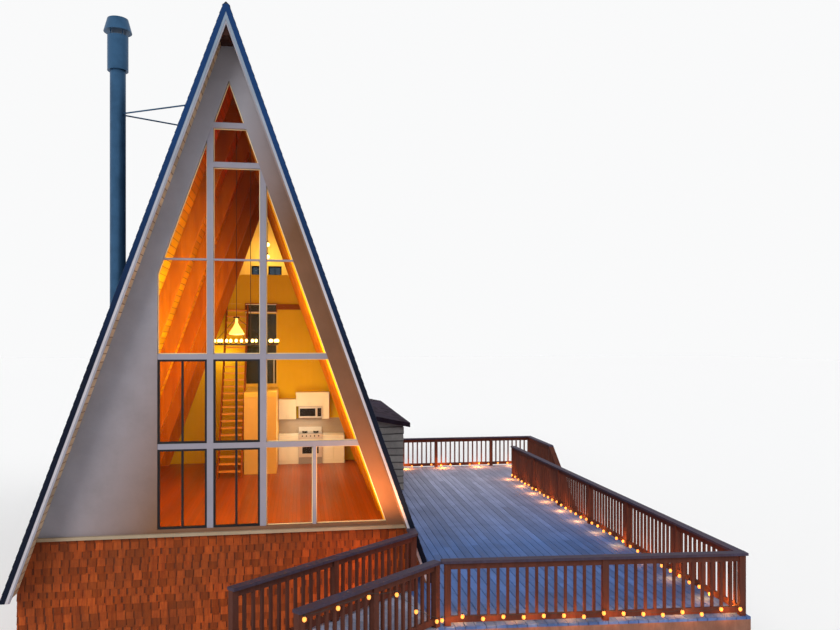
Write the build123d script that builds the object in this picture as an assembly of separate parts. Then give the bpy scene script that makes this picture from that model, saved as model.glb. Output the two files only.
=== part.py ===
from build123d import *
import math
import os

os.makedirs("parts", exist_ok=True)

# Steep a-frame cabin on a raised floor, with a lean-to, a deck, a walkway and a deck stair.
# X runs along the front wall, Y runs back along the ridge, Z is up.
# The origin lies on the ground, in the middle of the front wall's underside.
# Lengths are in millimetres and angles in degrees.

# Levels
floor_height = 1500
floor_thickness = 240
house_length = 14400

# Main roof, measured square to its slope
roof_half_angle = 19.52
ridge_rise = 9430
shingle_thickness = 45
plank_thickness = 40
front_overhang = 500
back_overhang = 400
fascia_drop = 57
fascia_thickness = 30
ridge_flat_drop = 120
ridge_cap_drop = 76
ridge_cap_height = 58
ridge_cap_half_width = 62
ridge_cap_clearance = 3

# Frame
rafter_depth = 286
rafter_width = 89
bent_spacing = 2450
ridge_beam_depth = 346

# Outer walls
wall_thickness = 150
skirt_thickness = 150
sill_height = 860
sill_thickness = 50
sill_projection = 60
glazing_drop = 906
glazing_base = 920
glazing_left = 1132

# Front mullions and rails, by their left edges and lower edges
mullion_width = 102
mullion_depth = 80
mullion_setback = 10
mullion_left_x = -352
mullion_right_x = 500
slim_mullion_x = 1366
slim_mullion_width = 60
rail_height = 90
bar_height = 30
top_rail_drop = 780
upper_rail_drop = 1430
slim_bar_z = 5308
middle_rail_z = 3682
lower_rail_z = 2218
glass_thickness = 8

# Sliding windows between the mullions
sash_width = 34
sash_depth = 50
meeting_stile_x = 117

# Back wall windows
back_window_width = 900
back_window_height = 1200
back_window_gap = 700
back_window_sill = 900
back_upper_width = 630
back_upper_sill = 3500
loft_light_width = 460
loft_light_height = 340
loft_light_sill = 6250
loft_light_gap = 120

# Inner wall, loft and fittings
loft_depth = 1800
inner_wall_thickness = 120
inner_wall_top = 6140
inner_window_left = -620
inner_window_right = 420
inner_window_sill = 2420
inner_window_transom = 4880
loft_floor_z = 5000
loft_floor_thickness = 180
loft_beam_depth = 60
loft_gate_x = -740
partition_left = -490
partition_right = 460
partition_length = 2300
partition_height = 2400
partition_thickness = 100
partition_lid = 40
kitchen_left = 470
kitchen_clearance = 37
base_cabinet_height = 920
base_cabinet_depth = 600
worktop_thickness = 40
worktop_lip = 20
wall_cabinet_depth = 350
wall_cabinet_low = (1420, 2070)
wall_cabinet_high = (1840, 2290)
wall_cabinet_right_width = 230
wall_cabinet_shoulder = 80
range_width = 760
range_height = 980
range_depth = 640
microwave_height = 380
microwave_depth = 400
stair_left = -1170
stair_width = 620
stair_riser_count = 26
stair_going = 110
stair_tread_depth = 180
stair_tread_thickness = 45
stringer_thickness = 45
stringer_cover = 36
stringer_depth = 80

# Chandelier
chandelier_y = 2900
chandelier_x = 37
chandelier_radius = 670
chandelier_z = 3910
chandelier_tube = 26
chandelier_sides = 24
chandelier_hub_x = -110
chandelier_hub_z = 4440
chandelier_hub_radius = 60
chandelier_hub_height = 30
chandelier_rod_radius = 5
chandelier_cable_radius = 7
chandelier_side_x = 208

# Lean-to
lean_to_front_y = 7250
lean_to_side_x = 3870
lean_to_wall = 120
lean_to_eave = 1800
lean_to_slope = 0.2
lean_to_roof_thickness = 110
lean_to_overhang = 170

# Deck
deck_board = 38
deck_joist_depth = 200
deck_joist_width = 45
deck_joist_spacing = 600
deck_beam_depth = 240
deck_beam_width = 90
deck_post = 140
deck_edge = 90
deck_front_left = (3080, -2360)
deck_front_right = (7506, -2640)
deck_back_right = (7240, 10740)
deck_beam_lines = (3810, 5500, 6950)
deck_beam_setback = 200
deck_post_rows = (-2050, 500, 3050, 5600, 8150, 10450)
lean_to_back_post_setback = 200

# Walkway, out to the left from the deck's front left corner
walkway_inner_corner = (2860, -780)
walkway_outer_corner = (3056, -2448)
walkway_angle = 41
walkway_length = 3600
walkway_stringer_inset = 40
walkway_post_places = (0.5, 0.96)

# Railings
rail_cap_height = 914
rail_cap_width = 140
rail_cap_thickness = 38
rail_top_depth = 89
rail_bottom_depth = 89
rail_bottom_gap = 40
rail_thickness = 38
baluster_pitch = 140
rail_post = 89
front_post_places = (3200, 5468, 7506)
back_post_places = (5390, 7170)
right_post_count = 7
walkway_return_x = 2950
walkway_return_y = -820
walkway_outer_post = (3024, -2400)

# Landing and stair down from the deck's back right corner
landing_rail_x = 8425
landing_length = 2150
deck_riser_count = 8
deck_tread_going = 254
deck_tread_nosing = 25
deck_tread_thickness = 45
deck_stair_clearance = 10
deck_stringer_depth = 330
deck_stringer_toe = 120

# Stove flue
flue_x = -2190
flue_y = 2000
flue_radius = 140
flue_wall = 20
flue_fit = 0.3
flue_inside = 100
flue_shroud_radius = 185
flue_cap_radius = 250
flue_shroud_drop = 430
flue_shroud_height = 640
flue_cap_gap = 80
flue_cap_height = 240
flue_strap_radius = 9
flue_strap_circle = 150
flue_brace_radius = 14
flue_brace_drop = 1230
flue_brace_spread = 1000

# Worked out from the values above
slope = math.tan(math.radians(roof_half_angle))
square = math.sin(math.radians(roof_half_angle))
level = floor_height
roof_back = house_length + back_overhang
plank_apex = ridge_rise - shingle_thickness / square
soffit_apex = plank_apex - plank_thickness / square
rafter_apex = soffit_apex - rafter_depth / square
glazing_apex = soffit_apex - glazing_drop
top_rail_z = glazing_apex - top_rail_drop
upper_rail_z = glazing_apex - upper_rail_drop
beam_bottom = soffit_apex - ridge_beam_depth
inner_wall_y = house_length - loft_depth
partition_front_y = inner_wall_y - partition_length
skirt_half = slope * soffit_apex
deck_top = level
deck_under = deck_top - deck_board
joist_under = deck_under - deck_joist_depth
beam_under = joist_under - deck_beam_depth
lean_to_back_y = house_length
walkway_turn = math.radians(180 + walkway_angle)
walkway_direction = (math.cos(walkway_turn), math.sin(walkway_turn))
flue_shroud_bottom = ridge_rise - flue_shroud_drop
flue_shroud_top = flue_shroud_bottom + flue_shroud_height
flue_cap_bottom = flue_shroud_top + flue_cap_gap
flue_brace_z = ridge_rise - flue_brace_drop
stair_rise = (loft_floor_z + loft_floor_thickness) / stair_riser_count
deck_stair_rise = deck_top / deck_riser_count
deck_stair_run = deck_riser_count * deck_tread_going
landing_front_y = deck_back_right[1] - landing_length
landing_edge_x = landing_rail_x + deck_edge


# Helpers
def cross_section(points, y_start, y_length):
    """Solid from an outline in X and Z, with Z counted from the floor."""
    outline = Polyline([(x, y_start, z + level) for x, z in points], close=True)
    return extrude(make_face(outline), amount=y_length, dir=(0, 1, 0))


def side_section(points, x_start, x_length):
    """Solid from an outline in Y and Z, with Z counted from the floor."""
    outline = Polyline([(x_start, y, z + level) for y, z in points], close=True)
    return extrude(make_face(outline), amount=x_length, dir=(1, 0, 0))


def plan_section(points, z_bottom, thickness):
    """Solid from an outline in X and Y, with Z counted from the ground."""
    outline = Polyline([(x, y, z_bottom) for x, y in points], close=True)
    return extrude(make_face(outline), amount=thickness, dir=(0, 0, 1))


def block(x0, x1, y0, y1, z0, z1):
    """Box between two corners, with Z counted from the ground."""
    size = (abs(x1 - x0), abs(y1 - y0), abs(z1 - z0))
    centre = ((x0 + x1) / 2, (y0 + y1) / 2, (z0 + z1) / 2)
    return Pos(*centre) * Box(*size)


def slope_x(apex, z):
    """Half the width of a pair of slopes that meet at apex, at height z."""
    return slope * (apex - z)


def rod(start, end, radius):
    direction = Vector(*end) - Vector(*start)
    return extrude(Plane(origin=start, z_dir=direction) * Circle(radius), amount=direction.length)


def tube_blank(x, y, radius, z0, z1):
    """Upright cylinder, with Z counted from the ground."""
    return Pos(x, y, z0) * Cylinder(radius, z1 - z0, align=(Align.CENTER, Align.CENTER, Align.MIN))


def save(name, *solids):
    """Write one node, moved so the origin falls in the middle of the front wall."""
    moved = [Pos(0, -wall_thickness / 2, 0) * solid for solid in solids]
    export_step(Compound(children=moved) if len(moved) > 1 else moved[0], f"parts/{name}.step")


# Main roof
def roof_layer(side, outer_apex, inner_apex, y_start, y_length):
    outline = [(0, outer_apex), (side * slope_x(outer_apex, 0), 0),
               (side * slope_x(inner_apex, 0), 0), (0, inner_apex)]
    return cross_section(outline, y_start, y_length)


def roof_side(side, name):
    length = front_overhang + roof_back
    shingles = roof_layer(side, ridge_rise, plank_apex, -front_overhang, length)
    seat = ridge_rise - ridge_flat_drop
    half = slope_x(ridge_rise, seat) + 1
    shingles -= block(-half, half, -front_overhang, roof_back, level + seat, level + ridge_rise)
    inner_start = -front_overhang + fascia_thickness
    planks = roof_layer(side, plank_apex, soffit_apex, inner_start, length - 2 * fascia_thickness)
    if side < 0:
        hole = tube_blank(flue_x, flue_y, flue_radius + flue_fit, level, level + flue_shroud_bottom)
        shingles -= hole
        planks -= hole
    save(f"roof_shingles_{name}", shingles)
    save(f"roof_planks_{name}", planks)


def fascia_pair(y_start, name):
    inner_apex = soffit_apex - fascia_drop / square
    boards = roof_layer(-1, plank_apex, inner_apex, y_start, fascia_thickness)
    boards += roof_layer(1, plank_apex, inner_apex, y_start, fascia_thickness)
    save(name, boards)


def ridge_cap():
    """Cap seated on the flat between the slopes, with a lip down each side."""
    top = ridge_rise - ridge_cap_drop
    seat = ridge_rise - ridge_flat_drop
    lip = top - ridge_cap_height
    right = [(ridge_cap_half_width, lip), (slope_x(ridge_rise + ridge_cap_clearance, lip), lip),
             (slope_x(ridge_rise + ridge_cap_clearance, seat), seat)]
    left = [(-x, z) for x, z in reversed(right)]
    save("ridge_cap", cross_section([(0, top)] + right + left, -front_overhang, front_overhang + roof_back))


# Frame
def rafters(side, name):
    outline = [(0, rafter_apex), (0, beam_bottom), (slope_x(soffit_apex, beam_bottom), beam_bottom),
               (skirt_half, 0), (slope_x(rafter_apex, 0), 0)]
    half = [(side * x, z) for x, z in outline]
    rows = [i * bent_spacing for i in range(1, int(inner_wall_y / bent_spacing) + 1)]
    save(f"rafters_{name}", *[cross_section(half, y, rafter_width) for y in rows])


def ridge_beam():
    outline = [(0, soffit_apex), (slope_x(soffit_apex, beam_bottom), beam_bottom),
               (-slope_x(soffit_apex, beam_bottom), beam_bottom)]
    start = -front_overhang + fascia_thickness
    save("ridge_beam", cross_section(outline, start, front_overhang + roof_back - 2 * fascia_thickness))


# Outer walls
def glazing_outline(apex):
    right = slope_x(apex, glazing_base)
    turn = apex - glazing_left / slope
    return [(0, apex), (right, glazing_base), (-glazing_left, glazing_base), (-glazing_left, turn)]


def front_wall():
    edge = slope_x(soffit_apex, sill_height)
    peak = slope_x(soffit_apex, beam_bottom)
    wall = cross_section([(-peak, beam_bottom), (peak, beam_bottom), (edge, sill_height),
                          (-edge, sill_height)], 0, wall_thickness)
    wall -= cross_section(glazing_outline(glazing_apex), -1, wall_thickness + 2)
    save("front_wall", wall)


def front_lower_wall():
    top = sill_height - sill_thickness
    outline = [(-skirt_half, -floor_height), (skirt_half, -floor_height), (skirt_half, 0),
               (slope_x(soffit_apex, top), top), (-slope_x(soffit_apex, top), top), (-skirt_half, 0)]
    save("front_lower_wall", cross_section(outline, 0, wall_thickness))


def front_sill():
    edge = slope_x(soffit_apex, sill_height)
    save("front_sill", block(-edge, edge, -sill_projection, wall_thickness,
                             level + sill_height - sill_thickness, level + sill_height))


def glazed(solid):
    """Trim a bar to the front glazing's outline."""
    return solid & cross_section(glazing_outline(glazing_apex), -1, wall_thickness + 2)


def upright(x, width, z_top):
    return block(x, x + width, mullion_setback, mullion_setback + mullion_depth,
                 level + glazing_base, level + z_top)


def front_mullions():
    left = glazed(upright(mullion_left_x, mullion_width, glazing_apex))
    right = glazed(upright(mullion_right_x, mullion_width, glazing_apex))
    slim = upright(slim_mullion_x, slim_mullion_width, lower_rail_z)
    return left, right - upper_rail_cut(), slim


def upper_rail_cut():
    wide = slope_x(glazing_apex, upper_rail_z)
    return block(0, wide, 0, wall_thickness, level + upper_rail_z, level + glazing_apex)


def front_rails(mullions):
    wide = slope_x(glazing_apex, glazing_base)
    rows = [(z, rail_height, mullion_left_x) for z in (top_rail_z, upper_rail_z)]
    rows += [(slim_bar_z, bar_height, -wide)]
    rows += [(z, rail_height, -wide) for z in (middle_rail_z, lower_rail_z)]
    rails = []
    for z, height, left in rows:
        rail = glazed(block(left, wide, mullion_setback, mullion_setback + mullion_depth,
                            level + z, level + z + height))
        for upright_bar in mullions:
            rail -= upright_bar
        rails += [piece for piece in rail.solids() if piece.bounding_box().size.X > rail_height]
    return rails


def window_sash(x0, x1, z0, z1, stile_x):
    y0 = mullion_setback + (mullion_depth - sash_depth) / 2
    y1 = y0 + sash_depth
    frame = block(x0, x1, y0, y1, level + z0, level + z1)
    left_light = block(x0 + sash_width, stile_x - sash_width / 2, y0 - 1, y1 + 1,
                       level + z0 + sash_width, level + z1 - sash_width)
    right_light = block(stile_x + sash_width / 2, x1 - sash_width, y0 - 1, y1 + 1,
                        level + z0 + sash_width, level + z1 - sash_width)
    return frame - left_light - right_light


def sliding_windows():
    rows = ((glazing_base, lower_rail_z), (lower_rail_z + rail_height, middle_rail_z))
    left_middle = (mullion_left_x - glazing_left) / 2
    sashes = []
    for z0, z1 in rows:
        sashes.append(window_sash(mullion_left_x + mullion_width, mullion_right_x, z0, z1, meeting_stile_x))
        sashes.append(window_sash(-glazing_left, mullion_left_x, z0, z1, left_middle))
    save("sliding_windows", *sashes)


def front_glazing():
    mullions = front_mullions()
    save("front_mullions", *mullions)
    save("front_rails", *front_rails(mullions))
    pane_y = mullion_setback + mullion_depth
    split = middle_rail_z + rail_height / 2
    sheet = cross_section(glazing_outline(glazing_apex), pane_y, glass_thickness)
    span = slope_x(glazing_apex, glazing_base)
    lower_half = block(-span, span, 0, wall_thickness, level, level + split)
    save("front_glass_lower", sheet & lower_half)
    save("front_glass_upper", sheet - lower_half)


def back_openings(y0, y1):
    rows = ((back_window_gap, back_window_width, back_window_sill, back_window_height),
            (back_window_gap, back_upper_width, back_upper_sill, back_window_height),
            (loft_light_gap, loft_light_width, loft_light_sill, loft_light_height))
    lights = []
    for gap, width, sill, height in rows:
        for left in (-gap / 2 - width, gap / 2):
            lights.append(block(left, left + width, y0, y1, level + sill, level + sill + height))
    return lights


def back_wall():
    y0 = house_length - wall_thickness
    peak = slope_x(soffit_apex, beam_bottom)
    outline = [(-skirt_half, -floor_height), (skirt_half, -floor_height), (skirt_half, 0),
               (peak, beam_bottom), (-peak, beam_bottom), (-skirt_half, 0)]
    wall = cross_section(outline, y0, wall_thickness)
    wall -= back_openings(y0 - 1, house_length + 1)
    save("back_wall", wall)
    pane_y = house_length - wall_thickness / 2
    save("back_glass", *back_openings(pane_y, pane_y + glass_thickness))


def skirt_and_floor():
    y0 = wall_thickness
    y1 = house_length - wall_thickness
    inner = skirt_half - skirt_thickness
    under = level - floor_thickness
    save("skirt_walls", block(-skirt_half, -inner, y0, y1, 0, under),
         block(inner, skirt_half, y0, y1, 0, under))
    save("main_floor", block(-skirt_half, skirt_half, y0, y1, under, level))


# Inside
def inner_wall():
    y0 = inner_wall_y
    y1 = inner_wall_y + inner_wall_thickness
    loft_top = loft_floor_z + loft_floor_thickness
    edge_top = slope_x(soffit_apex, inner_wall_top)
    edge_gate = slope_x(soffit_apex, loft_top)
    outline = [(-skirt_half, 0), (skirt_half, 0), (edge_top, inner_wall_top), (loft_gate_x, inner_wall_top),
               (loft_gate_x, loft_top), (-edge_gate, loft_top)]
    wall = cross_section(outline, y0, inner_wall_thickness)
    window = block(inner_window_left, inner_window_right, y0 - 1, y1 + 1, level + inner_window_sill,
                   level + loft_floor_z)
    save("inner_wall", wall - window)
    middle = (inner_window_left + inner_window_right) / 2
    frame_y = y0 + sash_width
    frame = block(inner_window_left, inner_window_right, frame_y, frame_y + sash_depth,
                  level + inner_window_sill, level + loft_floor_z)
    rows = ((inner_window_sill + sash_width, inner_window_transom - sash_width / 2),
            (inner_window_transom + sash_width / 2, loft_floor_z - sash_width))
    for x0, x1 in ((inner_window_left + sash_width, middle - sash_width / 2),
                   (middle + sash_width / 2, inner_window_right - sash_width)):
        for z0, z1 in rows:
            frame -= block(x0, x1, y0, y1, level + z0, level + z1)
    save("inner_window", frame)
    pane_y = frame_y + sash_depth
    save("inner_window_glass", block(inner_window_left, inner_window_right, pane_y, pane_y + glass_thickness,
                                     level + inner_window_sill, level + loft_floor_z))


def loft():
    y0 = inner_wall_y + inner_wall_thickness
    y1 = house_length - wall_thickness
    top = loft_floor_z + loft_floor_thickness
    low_edge = slope_x(soffit_apex, loft_floor_z)
    top_edge = slope_x(soffit_apex, top)
    outline = [(-low_edge, loft_floor_z), (low_edge, loft_floor_z), (top_edge, top), (-top_edge, top)]
    save("loft_floor", cross_section(outline, y0, y1 - y0))
    stair_side = stair_left + stair_width + stringer_thickness
    front = [(stair_side, loft_floor_z), (low_edge, loft_floor_z), (top_edge, top), (stair_side, top)]
    save("loft_beam", cross_section(front, inner_wall_y - loft_beam_depth, loft_beam_depth))


def partition():
    y0 = partition_front_y
    y1 = inner_wall_y
    top = level + partition_height
    shell = block(partition_left, partition_right, y0, y1, level, top)
    shell -= block(partition_left + partition_thickness, partition_right - partition_thickness,
                   y0 + partition_thickness, y1, level, top)
    save("partition_wall", shell)
    save("partition_lid", block(partition_left, partition_right, y0, y1, top, top + partition_lid))


def kitchen():
    y1 = inner_wall_y
    low_bottom, low_top = wall_cabinet_low
    high_bottom, high_top = wall_cabinet_high
    high_right = slope_x(rafter_apex, high_top) - kitchen_clearance
    range_right = high_right - wall_cabinet_right_width
    range_left = range_right - range_width
    low_right = range_left - wall_cabinet_shoulder
    kitchen_right = slope_x(rafter_apex, base_cabinet_height) - kitchen_clearance
    body_top = level + base_cabinet_height - worktop_thickness
    worktop_top = level + base_cabinet_height
    front = y1 - base_cabinet_depth
    units = []
    for x0, x1 in ((kitchen_left, range_left), (range_right, kitchen_right)):
        units.append(block(x0, x1, front + worktop_lip, y1, level, body_top)
                     + block(x0, x1, front, y1, body_top, worktop_top))
    save("kitchen_base", *units)
    back = y1 - wall_cabinet_depth
    low_unit = block(kitchen_left, low_right, back, y1, level + low_bottom, level + low_top)
    high_unit = block(low_right, high_right, back, y1, level + high_bottom, level + high_top)
    right_unit = block(range_right, high_right, back, y1, level + low_bottom, level + high_bottom)
    save("kitchen_wall_cabinets", low_unit + high_unit + right_unit)
    cooker = block(range_left, range_right, y1 - range_depth, y1, level, level + range_height)
    microwave = block(range_left, range_right, y1 - microwave_depth, y1,
                      level + high_bottom - microwave_height, level + high_bottom)
    save("kitchen_appliances", cooker, microwave)


def loft_stair():
    treads = []
    x0 = stair_left
    x1 = stair_left + stair_width
    count = stair_riser_count - 1
    for i in range(count):
        z = level + (i + 1) * stair_rise
        y = inner_wall_y - (count - 1 - i) * stair_going
        treads.append(block(x0, x1, y - stair_tread_depth, y, z - stair_tread_thickness, z))
    save("loft_stair_treads", *treads)
    pitch = stair_rise / stair_going
    top = loft_floor_z + loft_floor_thickness
    under = count * stair_rise - stair_tread_thickness - stringer_depth
    over = count * stair_rise + stair_tread_depth * pitch + stringer_cover
    outline = [(inner_wall_y, under), (inner_wall_y, top), (inner_wall_y - (over - top) / pitch, top),
               (inner_wall_y - over / pitch, 0), (inner_wall_y - under / pitch, 0)]
    save("loft_stair_stringers", side_section(outline, x0 - stringer_thickness, stringer_thickness),
         side_section(outline, x1, stringer_thickness))


def chandelier():
    ring_z = level + chandelier_z
    hub_z = level + chandelier_hub_z
    half = chandelier_tube / 2
    profile = RegularPolygon(chandelier_radius + half, chandelier_sides)
    profile -= RegularPolygon(chandelier_radius - half, chandelier_sides)
    lamp = Pos(chandelier_x, chandelier_y, ring_z - half) * extrude(profile, amount=chandelier_tube)
    lamp += tube_blank(chandelier_hub_x, chandelier_y, chandelier_hub_radius, hub_z,
                       hub_z + chandelier_hub_height)
    for i in range(3):
        turn = math.radians(90 + i * 120)
        foot = (chandelier_x + chandelier_radius * math.cos(turn),
                chandelier_y + chandelier_radius * math.sin(turn), ring_z)
        head = (chandelier_hub_x, chandelier_y, hub_z + chandelier_hub_height / 2)
        lamp += rod(foot, head, chandelier_rod_radius)
    lamp += tube_blank(chandelier_hub_x, chandelier_y, chandelier_cable_radius, hub_z, level + beam_bottom)
    side = chandelier_side_x - chandelier_x
    side_y = chandelier_y - math.sqrt(chandelier_radius ** 2 - side ** 2)
    side_top = level + soffit_apex - (chandelier_side_x + chandelier_cable_radius) / slope
    lamp += tube_blank(chandelier_side_x, side_y, chandelier_cable_radius, ring_z, side_top)
    save("chandelier", lamp)


# Lean-to
def lean_to_top(x):
    return lean_to_eave + lean_to_slope * (lean_to_side_x + lean_to_overhang - x)


def lean_to_meeting(drop):
    """Where a line under the lean-to's roof top meets the main roof."""
    base = lean_to_top(0) - drop
    z = (base - lean_to_slope * slope * ridge_rise) / (1 - lean_to_slope * slope)
    return (slope_x(ridge_rise, z), z)


def lean_to():
    under = lean_to_roof_thickness
    meet_top = lean_to_meeting(0)
    meet_under = lean_to_meeting(under)
    edge = lean_to_side_x + lean_to_overhang
    roof_outline = [meet_top, (edge, lean_to_top(edge)), (edge, lean_to_top(edge) - under), meet_under]
    length = lean_to_back_y - lean_to_front_y + 2 * lean_to_overhang
    save("lean_to_roof", cross_section(roof_outline, lean_to_front_y - lean_to_overhang, length))
    end_outline = [(slope_x(ridge_rise, 0), 0), (lean_to_side_x, 0),
                   (lean_to_side_x, lean_to_top(lean_to_side_x) - under), meet_under]
    save("lean_to_end_walls", cross_section(end_outline, lean_to_front_y, lean_to_wall),
         cross_section(end_outline, lean_to_back_y - lean_to_wall, lean_to_wall))
    inner = lean_to_side_x - lean_to_wall
    side_outline = [(inner, 0), (lean_to_side_x, 0), (lean_to_side_x, lean_to_top(lean_to_side_x) - under),
                    (inner, lean_to_top(inner) - under)]
    save("lean_to_side_wall", cross_section(side_outline, lean_to_front_y + lean_to_wall,
                                            lean_to_back_y - lean_to_front_y - 2 * lean_to_wall))


# Deck
def walkway_point(start, reach, sideways=0):
    """Point along the walkway from start, moved sideways toward the deck's front."""
    dx, dy = walkway_direction
    return (start[0] + dx * reach - dy * sideways, start[1] + dy * reach + dx * sideways)


def deck_corners():
    front = (deck_front_right[0] + deck_edge, deck_front_right[1] - deck_edge)
    back = (deck_back_right[0] + deck_edge, deck_back_right[1] + deck_edge)
    return front, back


def deck_outline():
    front, back = deck_corners()
    return [(skirt_half, 0), (walkway_inner_corner[0], 0), walkway_inner_corner, walkway_outer_corner,
            front, back, (lean_to_side_x, back[1]), (lean_to_side_x, lean_to_back_y),
            (skirt_half, lean_to_back_y)]


def deck_side_x(y):
    """The deck's right edge at a distance back."""
    front, back = deck_corners()
    return front[0] + (back[0] - front[0]) * (y - front[1]) / (back[1] - front[1])


def deck_front_y(x):
    """The deck's front edge at a distance to the right."""
    front = deck_corners()[0]
    left = walkway_outer_corner
    return left[1] + (front[1] - left[1]) * (x - left[0]) / (front[0] - left[0])


def deck_frame():
    outline = deck_outline()
    save("deck_floor", plan_section(outline, deck_under, deck_board))
    edge = make_face(Polyline([(x, y, joist_under) for x, y in outline], close=True))
    inside = extrude(offset(edge, amount=-deck_joist_width, kind=Kind.INTERSECTION),
                     amount=deck_joist_depth, dir=(0, 0, 1))
    save("deck_rim", plan_section(outline, joist_under, deck_joist_depth) - inside)
    back = deck_corners()[1][1]
    joists = []
    row = lean_to_back_y - deck_joist_spacing
    while row > deck_front_right[1] + deck_joist_spacing / 2:
        bar = block(0, landing_edge_x, row, row + deck_joist_width, joist_under, deck_under)
        joists += (bar & inside).solids()
        row -= deck_joist_spacing
    save("deck_joists", *joists)
    beams = []
    posts = []
    half_beam = deck_beam_width / 2
    half_post = deck_post / 2
    for x in deck_beam_lines:
        under_lean_to = x < lean_to_side_x
        beams.append(block(x - half_beam, x + half_beam, deck_front_y(x) + deck_beam_setback,
                           lean_to_back_y if under_lean_to else back, beam_under, joist_under))
        rows = deck_post_rows
        if under_lean_to:
            rows += (lean_to_back_y - lean_to_back_post_setback,)
        for y in rows:
            posts.append(block(x - half_post, x + half_post, y - half_post, y + half_post, 0, beam_under))
    save("deck_beams", *beams)
    save("deck_posts", *posts)


def walkway_ends():
    """The far corners of the walkway, square to its run."""
    far_inner = walkway_point(walkway_inner_corner, walkway_length)
    dx, dy = walkway_direction
    reach = ((far_inner[0] - walkway_outer_corner[0]) * dx + (far_inner[1] - walkway_outer_corner[1]) * dy)
    return far_inner, walkway_point(walkway_outer_corner, reach)


def walkway():
    far_inner, far_outer = walkway_ends()
    outline = [walkway_inner_corner, far_inner, far_outer, walkway_outer_corner]
    save("walkway_floor", plan_section(outline, deck_under, deck_board))
    deck_blank = plan_section(deck_outline(), joist_under, deck_joist_depth)
    near = walkway_stringer_inset
    far = walkway_stringer_inset + deck_joist_width
    sides = []
    for corner, end, turn in ((walkway_inner_corner, far_inner, 1), (walkway_outer_corner, far_outer, -1)):
        reach = math.dist(corner, end)
        start = walkway_point(corner, -deck_joist_depth)
        stringer = plan_section([walkway_point(start, 0, turn * near), walkway_point(end, 0, turn * near),
                                 walkway_point(end, 0, turn * far), walkway_point(start, 0, turn * far)],
                                joist_under, deck_joist_depth)
        stringer -= deck_blank
        for place in walkway_post_places:
            foot = walkway_point(corner, reach * place, turn * (near + far) / 2)
            stringer += Pos(foot[0], foot[1], joist_under / 2) * Rot(0, 0, walkway_angle) * Box(
                deck_post, deck_post, joist_under)
        sides.append(stringer)
    save("walkway_frame", *sides)


# Railings
def railing(start, end, post_places, cap_ends=(0, 0), skip_posts=()):
    """Straight railing on the deck: posts, balusters, two rails and a flat cap."""
    length = math.dist(start, end)
    top = rail_cap_height - rail_cap_thickness
    panel = Pos(length / 2, 0, (rail_bottom_gap + top) / 2) * Box(
        length, rail_thickness, top - rail_bottom_gap)
    light_bottom = rail_bottom_gap + rail_bottom_depth
    light_top = top - rail_top_depth
    gaps = []
    for left, right in zip(post_places[:-1], post_places[1:]):
        clear = right - left - rail_post
        count = max(1, round((clear + rail_thickness) / baluster_pitch))
        pitch = (clear + rail_thickness) / count
        for i in range(count):
            x = left + rail_post / 2 + i * pitch + (pitch - rail_thickness) / 2
            gaps.append(Pos(x, 0, (light_bottom + light_top) / 2)
                        * Box(pitch - rail_thickness, rail_thickness * 2, light_top - light_bottom))
    panel -= gaps
    for i, place in enumerate(post_places):
        if i not in skip_posts:
            panel += Pos(place, 0, top / 2) * Box(rail_post, rail_post, top)
    cap_start, cap_end = -cap_ends[0], length + cap_ends[1]
    panel += Pos((cap_start + cap_end) / 2, 0, top + rail_cap_thickness / 2) * Box(
        cap_end - cap_start, rail_cap_width, rail_cap_thickness)
    angle = math.degrees(math.atan2(end[1] - start[1], end[0] - start[0]))
    return Pos(start[0], start[1], deck_top) * Rot(0, 0, angle) * panel


def even_posts(length, count, first=0.0, last=None):
    """Post centres, evenly spaced along a railing."""
    end = length if last is None else last
    return [first + (end - first) * i / (count - 1) for i in range(count)]


def deck_railings():
    half = rail_post / 2
    lip = (rail_cap_width - rail_post) / 2
    fall = (deck_front_right[1] - deck_front_left[1]) / (deck_front_right[0] - deck_front_left[0])
    stretch = math.hypot(1, fall)
    first, last = front_post_places[0], front_post_places[-1]
    start = (first - half, deck_front_left[1] + fall * (first - half - deck_front_left[0]))
    end = (last + half, deck_front_left[1] + fall * (last + half - deck_front_left[0]))
    front = railing(start, end, [(x - start[0]) * stretch for x in front_post_places], (half, lip))
    save("railing_front", front)
    side_end = (deck_side_x(landing_front_y) - deck_edge, landing_front_y)
    length = math.dist(deck_front_right, side_end)
    side = railing(deck_front_right, side_end, even_posts(length, right_post_count, 0, length - half),
                   (0, lip), (0,))
    side -= front
    save("railing_right", max(side.solids(), key=lambda solid: solid.volume))
    back_y = deck_back_right[1]
    start = (lean_to_side_x, back_y)
    end = (landing_rail_x + half, back_y)
    places = [half] + [x - start[0] for x in back_post_places] + [landing_rail_x - start[0]]
    back = railing(start, end, places, (0, lip))
    save("railing_back", back)
    return back


def walkway_railings():
    far_inner, far_outer = walkway_ends()
    half = rail_post / 2
    corner = (walkway_return_x, walkway_return_y)
    short_start = (walkway_return_x, -front_overhang)
    short_length = math.dist(short_start, corner)
    inner = railing(short_start, corner, [half, short_length], (0, half))
    reach = math.dist(walkway_inner_corner, far_inner) - deck_edge
    inner_end = walkway_point(corner, reach)
    inner += railing(corner, inner_end, even_posts(reach, 3, 0, reach - half), (0, 0), (0,))
    dx, dy = walkway_direction
    outer_reach = (inner_end[0] - walkway_outer_post[0]) * dx + (inner_end[1] - walkway_outer_post[1]) * dy
    outer_start = walkway_point(walkway_outer_post, -half)
    outer_end = walkway_point(walkway_outer_post, outer_reach)
    length = math.dist(outer_start, outer_end)
    outer = railing(outer_start, outer_end, even_posts(length, 3, half, length - half))
    save("railing_walkway", inner, outer)


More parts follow.
